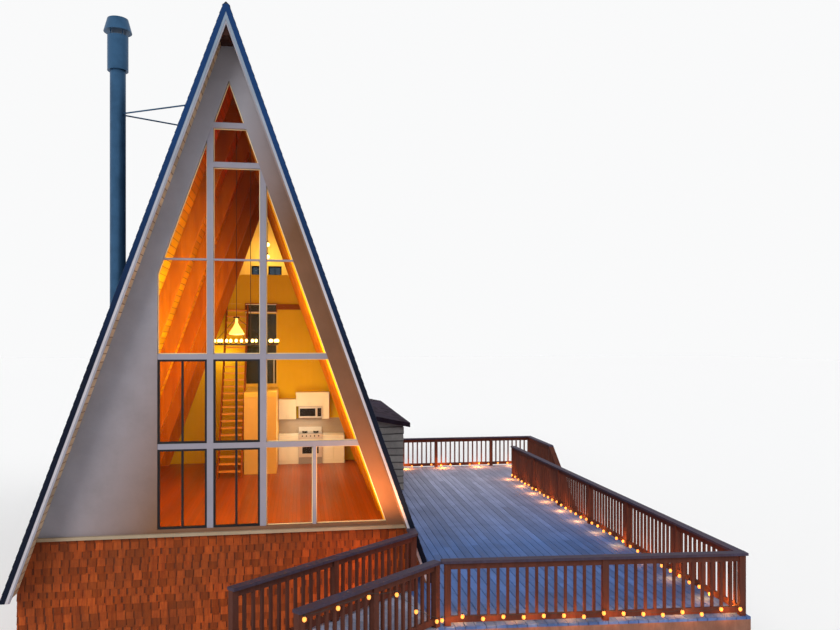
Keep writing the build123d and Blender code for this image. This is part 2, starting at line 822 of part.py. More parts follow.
# Landing and deck stair
def landing():
    y0 = landing_front_y
    back = deck_corners()[1]
    x1 = landing_edge_x
    outline = [(deck_side_x(y0), y0), (x1, y0), (x1, back[1]), back]
    save("landing_floor", plan_section(outline, deck_under, deck_board))
    frame = plan_section(outline, joist_under, deck_joist_depth)
    edge = make_face(Polyline([(x, y, joist_under) for x, y in outline], close=True))
    frame -= extrude(offset(edge, amount=-deck_joist_width, kind=Kind.INTERSECTION),
                     amount=deck_joist_depth, dir=(0, 0, 1))
    half = deck_post / 2
    for x in (deck_side_x(y0) + half, x1 - half):
        for y in (y0 + half, back[1] - half):
            frame += block(x - half, x + half, y - half, y + half, 0, joist_under)
    save("landing_frame", frame)


def deck_stair():
    y0 = landing_front_y
    x0 = deck_side_x(y0 - deck_stair_run) + deck_stair_clearance + stringer_thickness
    x1 = landing_rail_x - rail_post / 2 - stringer_thickness
    treads = []
    for i in range(deck_riser_count - 1):
        z = deck_top - (i + 1) * deck_stair_rise
        y = y0 - i * deck_tread_going
        treads.append(block(x0, x1, y - deck_tread_going - deck_tread_nosing, y,
                            z - deck_tread_thickness, z))
    save("deck_stair_treads", *treads)
    foot = y0 - deck_stair_run
    outline = [(y0, 0), (y0, -deck_stringer_depth), (foot + deck_stringer_depth, -level), (foot, -level),
               (foot, deck_stringer_toe - level)]
    save("deck_stair_stringers", side_section(outline, x0 - stringer_thickness, stringer_thickness),
         side_section(outline, x1, stringer_thickness))


def stair_railing():
    """Sloping guard on the stair's outer side, with upright balusters."""
    fall = deck_stair_rise / deck_tread_going
    x = landing_rail_x
    y0 = landing_front_y
    run = deck_stair_run
    top = rail_cap_height - rail_cap_thickness

    def sloped(z_low, z_high, thickness):
        outline = [(y0, z_low), (y0, z_high), (y0 - run, z_high - fall * run),
                   (y0 - run, z_low - fall * run)]
        return side_section(outline, x - thickness / 2, thickness)

    low = 2 * rail_bottom_gap
    rail = sloped(top - rail_top_depth, top, rail_thickness)
    rail += sloped(low, low + rail_bottom_depth, rail_thickness)
    rail += sloped(top, rail_cap_height, rail_cap_width)
    half = rail_thickness / 2
    for i in range(1, int(run / baluster_pitch)):
        drop = fall * i * baluster_pitch
        y = y0 - i * baluster_pitch
        rail += block(x - half, x + half, y - half, y + half, level + low + rail_bottom_depth / 2 - drop,
                      level + top - rail_top_depth / 2 - drop)
    post_y = y0 - run + rail_post
    half = rail_post / 2
    rail += block(x - half, x + half, post_y - half, post_y + half, 0,
                  level + top - fall * (run - rail_post + half))
    return rail


def landing_railings(back_railing):
    start = (landing_rail_x, deck_back_right[1])
    end = (landing_rail_x, landing_front_y)
    panel = railing(start, end, [0, landing_length - rail_post / 2], (0, 0), (0,)) - back_railing
    save("railing_landing", max(panel.solids(), key=lambda solid: solid.volume) + stair_railing())


# Flue
def flue():
    left = abs(flue_x) + flue_radius
    bottom = level + soffit_apex - left / slope - flue_inside
    pipe = tube_blank(flue_x, flue_y, flue_radius, bottom, level + flue_shroud_bottom)
    bore = tube_blank(flue_x, flue_y, flue_radius - flue_wall, bottom, level + flue_shroud_bottom)
    save("flue_pipe", pipe - bore)
    head = tube_blank(flue_x, flue_y, flue_shroud_radius, level + flue_shroud_bottom,
                      level + flue_shroud_top)
    head += Pos(flue_x, flue_y, level + flue_cap_bottom) * Cone(
        flue_cap_radius, flue_shroud_radius, flue_cap_height,
        align=(Align.CENTER, Align.CENTER, Align.MIN))
    for i in range(4):
        turn = math.radians(45 + 90 * i)
        x = flue_x + flue_strap_circle * math.cos(turn)
        y = flue_y + flue_strap_circle * math.sin(turn)
        head += tube_blank(x, y, flue_strap_radius, level + flue_shroud_top, level + flue_cap_bottom)
    save("flue_cap", head)
    z = level + flue_brace_z
    roof_x = -slope_x(ridge_rise, flue_brace_z - flue_brace_radius * 2)
    braces = rod((flue_x, flue_y, z), (roof_x, flue_y - flue_brace_spread, z), flue_brace_radius)
    braces += rod((flue_x, flue_y, z), (roof_x, flue_y + flue_brace_spread, z), flue_brace_radius)
    braces -= pipe
    braces -= roof_layer(-1, ridge_rise, plank_apex, -front_overhang, house_length)
    save("flue_braces", *sorted(braces.solids(), key=lambda solid: solid.volume)[-2:])


roof_side(-1, "left")
roof_side(1, "right")
fascia_pair(-front_overhang, "fascia_front")
fascia_pair(roof_back - fascia_thickness, "fascia_back")
ridge_cap()
ridge_beam()
rafters(-1, "left")
rafters(1, "right")
front_wall()
front_lower_wall()
front_sill()
front_glazing()
sliding_windows()
back_wall()
skirt_and_floor()
inner_wall()
loft()
partition()
kitchen()
loft_stair()
chandelier()
lean_to()
deck_frame()
walkway()
walkway_railings()
landing()
deck_stair()
landing_railings(deck_railings())
flue()
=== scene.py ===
import bpy
import bmesh
import math
from functools import partial
from mathutils import Matrix, Vector


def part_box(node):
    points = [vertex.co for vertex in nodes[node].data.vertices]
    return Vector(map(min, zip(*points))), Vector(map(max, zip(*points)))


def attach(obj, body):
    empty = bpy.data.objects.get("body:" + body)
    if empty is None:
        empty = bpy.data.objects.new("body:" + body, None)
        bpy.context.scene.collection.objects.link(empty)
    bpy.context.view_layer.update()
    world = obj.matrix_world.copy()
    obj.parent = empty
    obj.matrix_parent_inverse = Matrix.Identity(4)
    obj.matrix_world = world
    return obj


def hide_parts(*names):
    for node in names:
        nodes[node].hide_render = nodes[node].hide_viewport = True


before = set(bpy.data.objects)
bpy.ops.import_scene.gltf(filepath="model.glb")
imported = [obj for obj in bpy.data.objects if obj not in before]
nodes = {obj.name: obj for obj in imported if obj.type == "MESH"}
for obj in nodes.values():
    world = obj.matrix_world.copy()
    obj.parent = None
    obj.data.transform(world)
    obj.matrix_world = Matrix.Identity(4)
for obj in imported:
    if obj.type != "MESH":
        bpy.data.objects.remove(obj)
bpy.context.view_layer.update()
print("stage: frame loaded,", len(nodes), "nodes")

# places read from the frame, in metres
roofLow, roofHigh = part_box("roof_shingles_right")
deckLow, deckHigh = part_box("deck_floor")
deckTop, deckUnder = deckHigh.z, deckLow.z
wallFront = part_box("front_lower_wall")[0].y
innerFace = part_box("inner_wall")[0].y
slopeAngle = math.radians(19.52)
slopeTan = math.tan(slopeAngle)
sinA, cosA = math.sin(slopeAngle), math.cos(slopeAngle)
slopeLength = (roofHigh.z - deckTop) / cosA
roofApex = deckTop + roofHigh.x / slopeTan
# directions up the right and the left slope, and straight up
slopeRight, slopeLeft, upward = (-sinA, 0, cosA), (sinA, 0, cosA), (0, 0, 1)
# how far trim runs into what it sits on, the thinnest box, and how near points count as one
lap, thinnest, nearest = 0.001, 1e-4, 1e-5


# node helpers: a value is a plain one or another node's socket
def plug(tree, target, value):
    if isinstance(value, bpy.types.NodeSocket):
        tree.links.new(value, target)
    else:
        target.default_value = value


def plugAll(tree, inputs, values):
    for key, value in values.items():
        plug(tree, inputs[key], value)


def addNode(tree, kind, values=None, **settings):
    made = tree.nodes.new(kind)
    for key, value in settings.items():
        setattr(made, key, value)
    plugAll(tree, made.inputs, values or {})
    return made


# an input's value gives the kind of its socket, and a word names the kind of one without a value
def newGroup(name, inputs, outputs, kind="ShaderNodeTree"):
    tree = bpy.data.node_groups.new(name, kind)
    kinds = {float: "Float", int: "Int", tuple: "Vector"}
    for label, value in inputs.items():
        word = value if isinstance(value, str) else kinds[type(value)]
        made = tree.interface.new_socket(label, in_out="INPUT", socket_type=f"NodeSocket{word}")
        if word != value:
            made.default_value = value
    for label, word in outputs.items():
        tree.interface.new_socket(label, in_out="OUTPUT", socket_type=f"NodeSocket{word}")
    return tree, tree.nodes.new("NodeGroupInput").outputs, tree.nodes.new("NodeGroupOutput").inputs


def math2(tree, operation, a, b=None):
    values = {0: a} if b is None else {0: a, 1: b}
    return addNode(tree, "ShaderNodeMath", values, operation=operation).outputs[0]


def ranged(tree, value, low=0.0, high=1.0, start=0.0, stop=1.0, curve="LINEAR"):
    limits = {"Value": value, "From Min": low, "From Max": high, "To Min": start, "To Max": stop}
    return addNode(tree, "ShaderNodeMapRange", limits, interpolation_type=curve).outputs[0]


def noise(tree, place, scale, detail=2.0, roughness=0.5, distortion=0.0):
    values = {"Vector": place, "Scale": scale, "Detail": detail, "Roughness": roughness,
              "Distortion": distortion}
    return addNode(tree, "ShaderNodeTexNoise", values).outputs[0]


def alongAxis(tree, place, axis):
    made = addNode(tree, "ShaderNodeVectorMath", {0: place, 1: axis}, operation="DOT_PRODUCT")
    return made.outputs["Value"]


def stretched(tree, place, scale):
    return addNode(tree, "ShaderNodeMapping", {"Vector": place, "Scale": scale}).outputs[0]


def mixColor(tree, factor, a, b, blend="MIX"):
    values = [(*value, 1.0) if isinstance(value, tuple) else value for value in (factor, a, b)]
    return addNode(tree, "ShaderNodeMix", dict(zip((0, 6, 7), values)), data_type="RGBA",
                   blend_type=blend).outputs[2]


def useGroup(tree, group, **values):
    made = tree.nodes.new("ShaderNodeGroup")
    made.node_tree = group
    for key, value in values.items():
        plug(tree, made.inputs[key.replace("_", " ")], value)
    return made.outputs


# shader groups
def grainGroup():
    tree, give, end = newGroup("timberGrain", {"Vector": "Vector", "Grain Scale": 6.0},
                               {"Tone": "Float", "Height": "Float"})
    calc = partial(math2, tree)
    broad = noise(tree, give["Vector"], give["Grain Scale"], 5.0, 0.6, 0.6)
    fine = noise(tree, give["Vector"], calc("MULTIPLY", give["Grain Scale"], 5.0), 3.0, 0.7, 0.2)
    tone = calc("ADD", calc("MULTIPLY", broad, 0.65), calc("MULTIPLY", fine, 0.35))
    plug(tree, end["Tone"], ranged(tree, tone, 0.32, 0.68))
    plug(tree, end["Height"], fine)
    return tree


def jointGroup():
    tree, give, end = newGroup("boardJoints", {"Across": 0.0, "Pitch": 0.14, "Joint": 0.008},
                               {"Joint": "Float", "Board": "Float"})
    calc = partial(math2, tree)
    counted = calc("DIVIDE", give["Across"], give["Pitch"])
    shade = addNode(tree, "ShaderNodeTexWhiteNoise", {"W": calc("ADD", calc("FLOOR", counted), 17.3)},
                    noise_dimensions="1D")
    offCentre = calc("ABSOLUTE", calc("SUBTRACT", calc("FRACT", counted), 0.5))
    fromEdge = calc("MULTIPLY", calc("SUBTRACT", 0.5, offCentre), give["Pitch"])
    inside = calc("MULTIPLY", give["Joint"], 0.3)
    plug(tree, end["Joint"], ranged(tree, fromEdge, inside, give["Joint"], 1.0, 0.0, "SMOOTHSTEP"))
    plug(tree, end["Board"], shade.outputs["Value"])
    return tree


def stainGroup():
    tree, give, end = newGroup("weatherStain", {"Vector": "Vector", "Scale": 1.0, "Amount": 0.4},
                               {"Mask": "Float"})
    blotch = ranged(tree, noise(tree, give["Vector"], give["Scale"], 6.0, 0.62), 0.42, 0.7)
    plug(tree, end["Mask"], math2(tree, "MULTIPLY", blotch, give["Amount"]))
    return tree


timberGrain, boardJoints, weatherStain = grainGroup(), jointGroup(), stainGroup()


def blankMaterial(name):
    made = bpy.data.materials.new(name)
    made.use_nodes = True
    place = addNode(made.node_tree, "ShaderNodeTexCoord").outputs["Object"]
    return made, made.node_tree, made.node_tree.nodes["Principled BSDF"].inputs, place


# a tone ramp along an axis, which on several finishes is painted light and shade
def agedColor(tree, place, color, look):
    axis, low, high, tint = look["aged"]
    share = ranged(tree, alongAxis(tree, place, axis), low, high)
    return mixColor(tree, 1.0, color, mixColor(tree, share, (1.0, 1.0, 1.0), tint), "MULTIPLY")


def pieceColor(tree, color, tone, difference):
    tint = math2(tree, "ADD", math2(tree, "MULTIPLY", tone, difference), 1.0 - difference / 2)
    return mixColor(tree, 1.0, color, tint, "MULTIPLY")


def jointRows(tree, place, look):
    axis, pitch, joint = look["joints"]
    centred = math2(tree, "SUBTRACT", noise(tree, place, 2.5), 0.5)
    drift = math2(tree, "MULTIPLY", centred, look.get("wave", 0.0))
    across = math2(tree, "ADD", alongAxis(tree, place, axis), drift)
    return useGroup(tree, boardJoints, Across=across, Pitch=pitch, Joint=joint)


def surface(tree, shader, color, wear, roughSpan, height, strength, depth, look):
    rough = ranged(tree, wear, start=look["rough"] + roughSpan[0], stop=look["rough"] + roughSpan[1])
    relief = {"Height": height, "Strength": strength, "Distance": look.get("depth", depth)}
    bump = addNode(tree, "ShaderNodeBump", relief).outputs[0]
    plugAll(tree, shader, {
        "Base Color": color, "Roughness": rough, "Normal": bump, "Metallic": look.get("metal", 0.0),
        "Specular IOR Level": look.get("gloss", 0.15)})


# One wood finish for boards, beams, shingles and rails. look holds:
# light, dark: the two grain tones; stretch: grain direction; grain: its scale; rough; bump; gloss; depth
# joints: (axis, pitch, joint width), jointColor; piece: how far single pieces differ
# aged: (axis, low, high, tint) for a tone that changes along an axis, which on several finishes is painted
# light and shade; wave: how far the joints drift
# stain: (color, amount, scale); cap: (normal, distance, light, dark) for another tone past a plane, such as a
# board on top; on the right rafters it is painted light
# capMiddle: the cap lies on both sides, further than distance from it; capStays: the tone ramp leaves the cap
# alone
def woodFinish(name, look):
    made, tree, shader, place = blankMaterial(name)
    calc = partial(math2, tree)
    grain = useGroup(tree, timberGrain, Vector=stretched(tree, place, look["stretch"]),
                     Grain_Scale=look["grain"])
    light, dark = look["light"], look["dark"]
    if "cap" in look:
        normal, distance, capLight, capDark = look["cap"]
        above = alongAxis(tree, place, normal)
        if "capMiddle" in look:
            above = calc("ABSOLUTE", calc("SUBTRACT", above, look["capMiddle"]))
        isCap = calc("GREATER_THAN", above, distance)
        light = mixColor(tree, isCap, light, capLight)
        dark = mixColor(tree, isCap, dark, capDark)
    color = mixColor(tree, grain["Tone"], dark, light)
    height = calc("MULTIPLY", grain["Height"], look.get("bump", 0.4))
    if "joints" in look:
        rows = jointRows(tree, place, look)
        color = pieceColor(tree, color, rows["Board"], look.get("piece", 0.3))
        color = mixColor(tree, rows["Joint"], color, look["jointColor"])
        height = calc("SUBTRACT", height, calc("MULTIPLY", rows["Joint"], 1.5))
    elif "piece" in look:
        tone = addNode(tree, "ShaderNodeAttribute", attribute_name="tone").outputs["Fac"]
        color = pieceColor(tree, color, tone, look["piece"])
    if "stain" in look:
        stainColor, amount, scale = look["stain"]
        mask = useGroup(tree, weatherStain, Vector=place, Scale=scale, Amount=amount)["Mask"]
        color = mixColor(tree, mask, color, stainColor)
    if "aged" in look:
        aged = agedColor(tree, place, color, look)
        color = mixColor(tree, isCap, aged, color) if look.get("capStays") else aged
    surface(tree, shader, color, grain["Tone"], (-0.08, 0.1), height, 0.5, 0.004, look)
    return made


# Paint, enamel, plaster or metal: brush marks, faint dirt and a little sheen.
def paintFinish(name, look):
    made, tree, shader, place = blankMaterial(name)
    mask = useGroup(tree, weatherStain, Vector=place, Scale=look.get("scale", 1.6),
                    Amount=look.get("amount", 0.35))["Mask"]
    color = mixColor(tree, mask, look["color"], look["worn"])
    brush = noise(tree, stretched(tree, place, (1.0, 1.0, 0.15)), 60.0, 4.0)
    height = brush
    if "joints" in look:
        rows = jointRows(tree, place, look)
        color = mixColor(tree, rows["Joint"], color, look["worn"])
        height = math2(tree, "SUBTRACT", height, math2(tree, "MULTIPLY", rows["Joint"], 2.0))
    if "aged" in look:
        color = agedColor(tree, place, color, look)
    surface(tree, shader, color, brush, (-0.06, 0.08), height, 0.35, 0.0015, look)
    return made


def glassFinish(name, color, roughness):
    made, tree, shader, place = blankMaterial(name)
    rough = ranged(tree, noise(tree, place, 1.4, 3.0), stop=roughness)
    plugAll(tree, shader, {
        "Base Color": (*color, 1.0), "Transmission Weight": 1.0, "IOR": 1.1, "Roughness": rough})
    return made


def glowFinish(name, color, strength):
    made, tree, shader, place = blankMaterial(name)
    pale = tuple(0.92 * share + 0.08 for share in color)
    warm = mixColor(tree, noise(tree, place, 90.0), color, pale)
    plugAll(tree, shader, {
        "Base Color": (*color, 1.0), "Emission Strength": strength, "Emission Color": warm})
    return made


def wood(light, dark, stretch, grain, rough, **more):
    return {"light": light, "dark": dark, "stretch": stretch, "grain": grain, "rough": rough, **more}


def paint(color, worn, rough, **more):
    return {"color": color, "worn": worn, "rough": rough, **more}


capThick = 0.0385
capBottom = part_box("railing_front")[1].z - capThick
# the planks turn darker and redder towards the ridge: painted shade, far from the lamps below
planks = wood((1.0, 0.62, 0.014), (0.78, 0.35, 0.006), (1, 0.07, 1), 9.0, 0.42, bump=0.3, piece=0.45,
              aged=(upward, 5.4, 9.2, (0.42, 0.07, 0.10)), jointColor=(0.10, 0.03, 0.01),
              cap=((0, -1, 0), 7.27, (0.62, 0.48, 0.32), (0.42, 0.31, 0.20)), capMiddle=-7.2, capStays=True)
# the rafters turn darker towards the ridge: painted shade, far from the lamps below
rafterTopShade = (upward, 7.4, 9.4, (0.45, 0.24, 0.3))
boardStain = ((0.115, 0.115, 0.165), 0.45, 0.8)
woods = {
    "rafterTimber": wood((0.66, 0.20, 0.008), (0.36, 0.085, 0.003), (1, 1, 0.10), 8.0, 0.42, aged=rafterTopShade),
    # the right rafters in front of y = 3 m are a brighter yellow: painted lamplight from the chandelier near
    # the front
    "rafterRight": wood((0.76, 0.28, 0.008), (0.46, 0.14, 0.004), (1, 1, 0.10), 8.0, 0.42, aged=rafterTopShade,
                        cap=((0, -1, 0), -3.0, (1.0, 0.62, 0.010), (0.88, 0.46, 0.008))),
    "plankLeft": {**planks, "joints": (slopeLeft, 0.14, 0.010)},
    "plankRight": {**planks, "joints": (slopeRight, 0.14, 0.010)},
    # the ridge beam's near-black brown is partly its own dark colour and partly painted shade under the apex
    "darkTimber": wood((0.045, 0.016, 0.010), (0.020, 0.007, 0.006), (1, 1, 0.15), 8.0, 0.6),
    "redShingle": wood((0.37, 0.072, 0.012), (0.17, 0.026, 0.006), (1, 1, 0.12), 16.0, 0.68, piece=0.7,
                       depth=0.006, stain=((0.11, 0.036, 0.014), 0.55, 1.2)),
    "redBacking": wood((0.16, 0.045, 0.02), (0.08, 0.02, 0.01), (1, 1, 0.12), 12.0, 0.8),
    "backWall": wood((0.16, 0.045, 0.02), (0.08, 0.02, 0.01), (1, 1, 0.12), 5.0, 0.6,
                     cap=((0, -1, 0), -14.25, (0.95, 0.74, 0.20), (0.84, 0.60, 0.13))),
    "roofTab": wood((0.080, 0.092, 0.130), (0.026, 0.031, 0.050), (1, 1, 1), 60.0, 0.82, piece=0.8,
                    depth=0.003, stain=((0.05, 0.06, 0.05), 0.5, 0.5)),
    "leanTab": wood((0.045, 0.026, 0.036), (0.020, 0.014, 0.022), (1, 1, 1), 60.0, 0.82, piece=0.8,
                    depth=0.003, gloss=0.04, stain=((0.05, 0.04, 0.07), 0.6, 1.3)),
    # the dark joint lines between the shake courses are painted shadow under each course's butt
    "shakeGrey": wood((0.33, 0.325, 0.30), (0.23, 0.225, 0.21), (1, 1, 0.5), 9.0, 0.8, piece=0.25,
                      depth=0.006, joints=(upward, 0.1875, 0.022), jointColor=(0.055, 0.055, 0.055),
                      wave=0.05, stain=((0.17, 0.165, 0.16), 0.5, 1.4)),
    # the deck boards turn darker and bluer towards the front
    "deckBoard": wood((0.47, 0.455, 0.575), (0.27, 0.27, 0.36), (1, 0.07, 1), 12.0, 0.6, piece=0.4,
                      aged=((0, -1, 0), -9.5, -1.5, (0.17, 0.34, 0.66)), stain=boardStain),
    "walkBoard": wood((0.29, 0.315, 0.42), (0.17, 0.19, 0.26), (1, 1, 1), 10.0, 0.6, piece=0.4,
                      stain=boardStain),
    "frameTimber": wood((0.30, 0.15, 0.10), (0.16, 0.07, 0.045), (1, 1, 0.3), 8.0, 0.7,
                        stain=((0.09, 0.05, 0.04), 0.5, 1.1)),
    "floorBoard": wood((0.42, 0.085, 0.014), (0.25, 0.042, 0.008), (1, 0.07, 1), 4.0, 0.35, bump=0.05,
                       gloss=0.3, joints=((1, 0, 0), 0.09, 0.004), jointColor=(0.08, 0.02, 0.01), piece=0.35),
    "brownBeam": wood((0.36, 0.095, 0.010), (0.20, 0.045, 0.005), (0.12, 1, 1), 8.0, 0.45),
    "stairTread": wood((0.92, 0.46, 0.10), (0.70, 0.28, 0.05), (0.1, 1, 1), 10.0, 0.35),
    "railing": wood((0.115, 0.036, 0.022), (0.054, 0.017, 0.011), (1, 1, 0.15), 12.0, 0.62, gloss=0.08,
                    stain=((0.065, 0.030, 0.026), 0.5, 1.6),
                    cap=(upward, capBottom, (0.062, 0.050, 0.080), (0.031, 0.025, 0.042))),
}
paints = {
    # towards the lower right this paint turns darker orange: painted warm lamplight
    "facadePaint": paint((0.300, 0.295, 0.335), (0.225, 0.22, 0.245), 0.5, amount=0.6,
                         aged=((2.2, 0, -1), -8.8, -5.0, (0.66, 0.34, 0.17))),
    # the pale rake edge turns darker towards the apex: painted shade
    "edgePaint": paint((0.50, 0.47, 0.50), (0.36, 0.33, 0.36), 0.45, amount=0.5,
                       aged=(upward, 6.0, 10.0, (0.45, 0.60, 0.70))),
    "sillPaint": paint((0.36, 0.28, 0.19), (0.25, 0.18, 0.11), 0.5, amount=0.6),
    "trimPaint": paint((0.275, 0.265, 0.315), (0.21, 0.20, 0.24), 0.42, amount=0.4),
    "beadPaint": paint((0.95, 0.74, 0.40), (0.80, 0.58, 0.28), 0.4),
    "lidPaint": paint((0.92, 0.66, 0.16), (0.80, 0.52, 0.10), 0.4),
    "roofBacking": paint((0.040, 0.042, 0.055), (0.02, 0.02, 0.03), 0.85),
    "sashBlack": paint((0.012, 0.012, 0.014), (0.035, 0.030, 0.028), 0.4),
    "goldWall": paint((0.76, 0.47, 0.016), (0.62, 0.35, 0.008), 0.5, joints=((1, 0, 0), 0.2, 0.006)),
    "windowGold": paint((0.80, 0.52, 0.09), (0.62, 0.36, 0.05), 0.4),
    "creamWall": paint((0.86, 0.58, 0.20), (0.74, 0.46, 0.14), 0.5),
    "cabinetWhite": paint((0.88, 0.83, 0.71), (0.76, 0.70, 0.57), 0.35, amount=0.25),
    "worktop": paint((0.95, 0.91, 0.82), (0.86, 0.80, 0.70), 0.3, scale=9.0),
    "appliance": paint((0.40, 0.38, 0.37), (0.28, 0.26, 0.25), 0.3, metal=0.3, gloss=0.5),
    "lampIron": paint((0.05, 0.035, 0.03), (0.12, 0.07, 0.04), 0.45, metal=0.7),
    "flueSteel": paint((0.040, 0.105, 0.20), (0.020, 0.055, 0.11), 0.42, metal=0.6, scale=2.5, amount=0.7),
    "duskPane": paint((0.040, 0.034, 0.004), (0.018, 0.018, 0.004), 0.2, scale=0.8, amount=0.9, gloss=0.4),
    "lampWire": paint((0.03, 0.035, 0.03), (0.05, 0.05, 0.045), 0.6),
    # the rake metal turns darker and less blue towards its feet
    "rakeMetal": paint((0.012, 0.042, 0.13), (0.009, 0.030, 0.090), 0.75, gloss=0.08,
                       aged=((0, 0, -1), -8.8, -5.0, (0.6, 0.24, 0.16))),
    "enamelBlack": paint((0.012, 0.011, 0.010), (0.03, 0.027, 0.024), 0.15, gloss=0.4),
    # the backsplash's dim tone is painted shade under the wall cabinets
    "splashTile": paint((0.40, 0.31, 0.24), (0.29, 0.22, 0.165), 0.25, gloss=0.4,
                        joints=(upward, 0.1, 0.004)),
    "handle": paint((0.78, 0.73, 0.66), (0.66, 0.60, 0.53), 0.3, metal=0.35, gloss=0.5),
    "studioFloor": paint((0.972, 0.944, 0.897), (0.955, 0.928, 0.88), 0.8, amount=0.1),
}
glasses = {"glass": ((0.97, 0.985, 1.0), 0.02), "backGlass": ((0.05, 0.065, 0.08), 0.05)}
glows = {"warmLamp": ((1.0, 0.62, 0.17), 5.0), "stringLamp": ((1.0, 0.30, 0.03), 1.6),
         "shadeGlow": ((1.0, 0.62, 0.14), 0.95)}
finish = {name: woodFinish(name, look) for name, look in woods.items()}
finish |= {name: paintFinish(name, look) for name, look in paints.items()}
finish |= {name: glassFinish(name, *look) for name, look in glasses.items()}
finish |= {name: glowFinish(name, *look) for name, look in glows.items()}
print("stage: finishes made,", len(finish))

finishNodes = {
    "roofBacking": "roof_shingles_left roof_shingles_right",
    "plankLeft": "roof_planks_left",
    "plankRight": "roof_planks_right",
    "facadePaint": "fascia_front fascia_back front_wall",
    "roofTab": "ridge_cap",
    "darkTimber": "ridge_beam",
    "rafterTimber": "rafters_left",
    "rafterRight": "rafters_right",
    "redBacking": "front_lower_wall skirt_walls",
    "sillPaint": "front_sill",
    "trimPaint": "front_mullions front_rails",
    "glass": "front_glass_lower front_glass_upper",
    "sashBlack": "sliding_windows",
    "backWall": "back_wall",
    "backGlass": "back_glass",
    "floorBoard": "main_floor loft_floor",
    "goldWall": "inner_wall",
    "windowGold": "inner_window",
    "duskPane": "inner_window_glass",
    "brownBeam": "loft_beam loft_stair_stringers",
    "creamWall": "partition_wall",
    "lidPaint": "partition_lid",
    "cabinetWhite": "kitchen_base kitchen_wall_cabinets",
    "appliance": "kitchen_appliances",
    "stairTread": "loft_stair_treads",
    "lampIron": "chandelier",
    "leanTab": "lean_to_roof",
    "shakeGrey": "lean_to_end_walls lean_to_side_wall",
    "deckBoard": "deck_floor landing_floor deck_stair_treads",
    "walkBoard": "walkway_floor",
    "frameTimber": "deck_rim deck_joists deck_beams deck_posts walkway_frame landing_frame"
                   " deck_stair_stringers",
    "railing": "railing_front railing_right railing_back railing_walkway railing_landing",
    "flueSteel": "flue_pipe flue_cap flue_braces",
}
for name, members in finishNodes.items():
    for node in members.split():
        nodes[node].data.materials.clear()
        nodes[node].data.materials.append(finish[name])
print("stage: finishes on the frame")


# mesh helpers
def linked(name, data):
    made = bpy.data.objects.new(name, data)
    bpy.context.scene.collection.objects.link(made)
    return made


def finished(name, mesh, replaced=()):
    made = linked(name, mesh)
    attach(made, "root")
    if replaced:
        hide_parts(*replaced)
    return made


def openWork(mesh):
    work = bmesh.new()
    work.from_mesh(mesh)
    return work


def closeWork(work, mesh):
    bmesh.ops.recalc_face_normals(work, faces=work.faces)
    work.to_mesh(mesh)
    work.free()


def meshFrom(name, build, finishes):
    mesh = bpy.data.meshes.new(name)
    work = bmesh.new()
    build(work)
    closeWork(work, mesh)
    for key in finishes:
        mesh.materials.append(finish[key])
    return mesh


def dressed(name, slot, build, *finishes):
    return finished(name, meshFrom(name, build, finishes))


def facesOf(verts):
    return {face for vert in verts for face in vert.link_faces}


def markFaces(faces, slotIndex):
    for face in faces:
        face.material_index = slotIndex


def addBox(work, low, high, slotIndex=0, edge=0.0):
    centre = [(a + b) / 2 for a, b in zip(low, high)]
    size = [max(abs(b - a), thinnest) for a, b in zip(low, high)]
    place = Matrix.Translation(centre) @ Matrix.Diagonal((*size, 1.0))
    made = bmesh.ops.create_cube(work, size=1.0, matrix=place)
    faces = facesOf(made["verts"])
    if edge:
        edges = {line for face in faces for line in face.edges}
        soft = bmesh.ops.bevel(work, geom=list(edges), offset=edge, segments=1, affect="EDGES")
        faces = {face for face in soft["faces"]} | {face for face in faces if face.is_valid}
        faces |= facesOf(vert for face in soft["faces"] for vert in face.verts)
    markFaces(faces, slotIndex)


def addRod(work, start, end, radius, sides=8, slotIndex=0):
    start, end = Vector(start), Vector(end)
    run = end - start
    place = Matrix.Translation((start + end) / 2) @ run.to_track_quat("Z", "Y").to_matrix().to_4x4()
    made = bmesh.ops.create_cone(work, cap_ends=True, segments=sides, radius1=radius, radius2=radius,
                                 depth=run.length, matrix=place)
    markFaces(facesOf(made["verts"]), slotIndex)


def addBall(work, centre, radius, slotIndex=0, detail=1):
    made = bmesh.ops.create_icosphere(work, subdivisions=detail, radius=radius,
                                      matrix=Matrix.Translation(centre))
    faces = facesOf(made["verts"])
    markFaces(faces, slotIndex)
    for face in faces:
        face.smooth = True


# quads between two loops of as many points
def bridge(work, first, second):
    pairs = zip(range(len(first)), [*range(1, len(first)), 0])
    return [work.faces.new((first[a], first[b], second[b], second[a])) for a, b in pairs]


def sheetSolid(work, shape, y0, y1, slotIndex=0):
    near, far = [[work.verts.new((x, y, z)) for x, z in shape] for y in (y0, y1)]
    markFaces((work.faces.new(near), work.faces.new(far), *bridge(work, near, far)), slotIndex)


# the outline (x, z) moved inward by an amount
def insetShape(points, amount):
    lines = []
    area = sum(a[0] * b[1] - b[0] * a[1] for a, b in zip(points, points[1:] + points[:1]))
    side = 1 if area > 0 else -1
    for first, second in zip(points, points[1:] + points[:1]):
        run = Vector((second[0] - first[0], second[1] - first[1])).normalized()
        inward = Vector((-run.y, run.x)) * side
        lines.append((Vector(first) + inward * amount, run))
    inner = []
    for (startA, runA), (startB, runB) in zip(lines[-1:] + lines[:-1], lines):
        across = runA.x * runB.y - runA.y * runB.x
        gap = startB - startA
        reach = (gap.x * runB.y - gap.y * runB.x) / across
        inner.append(startA + runA * reach)
    return inner


def ringSolid(work, outer, amount, y0, y1, slotIndex=0):
    inner = insetShape(outer, amount)
    loops = [[work.verts.new((point[0], y, point[1])) for point in shape]
             for shape, y in ((outer, y0), (inner, y0), (inner, y1), (outer, y1))]
    for first, second in zip(loops, loops[1:] + loops[:1]):
        markFaces(bridge(work, first, second), slotIndex)


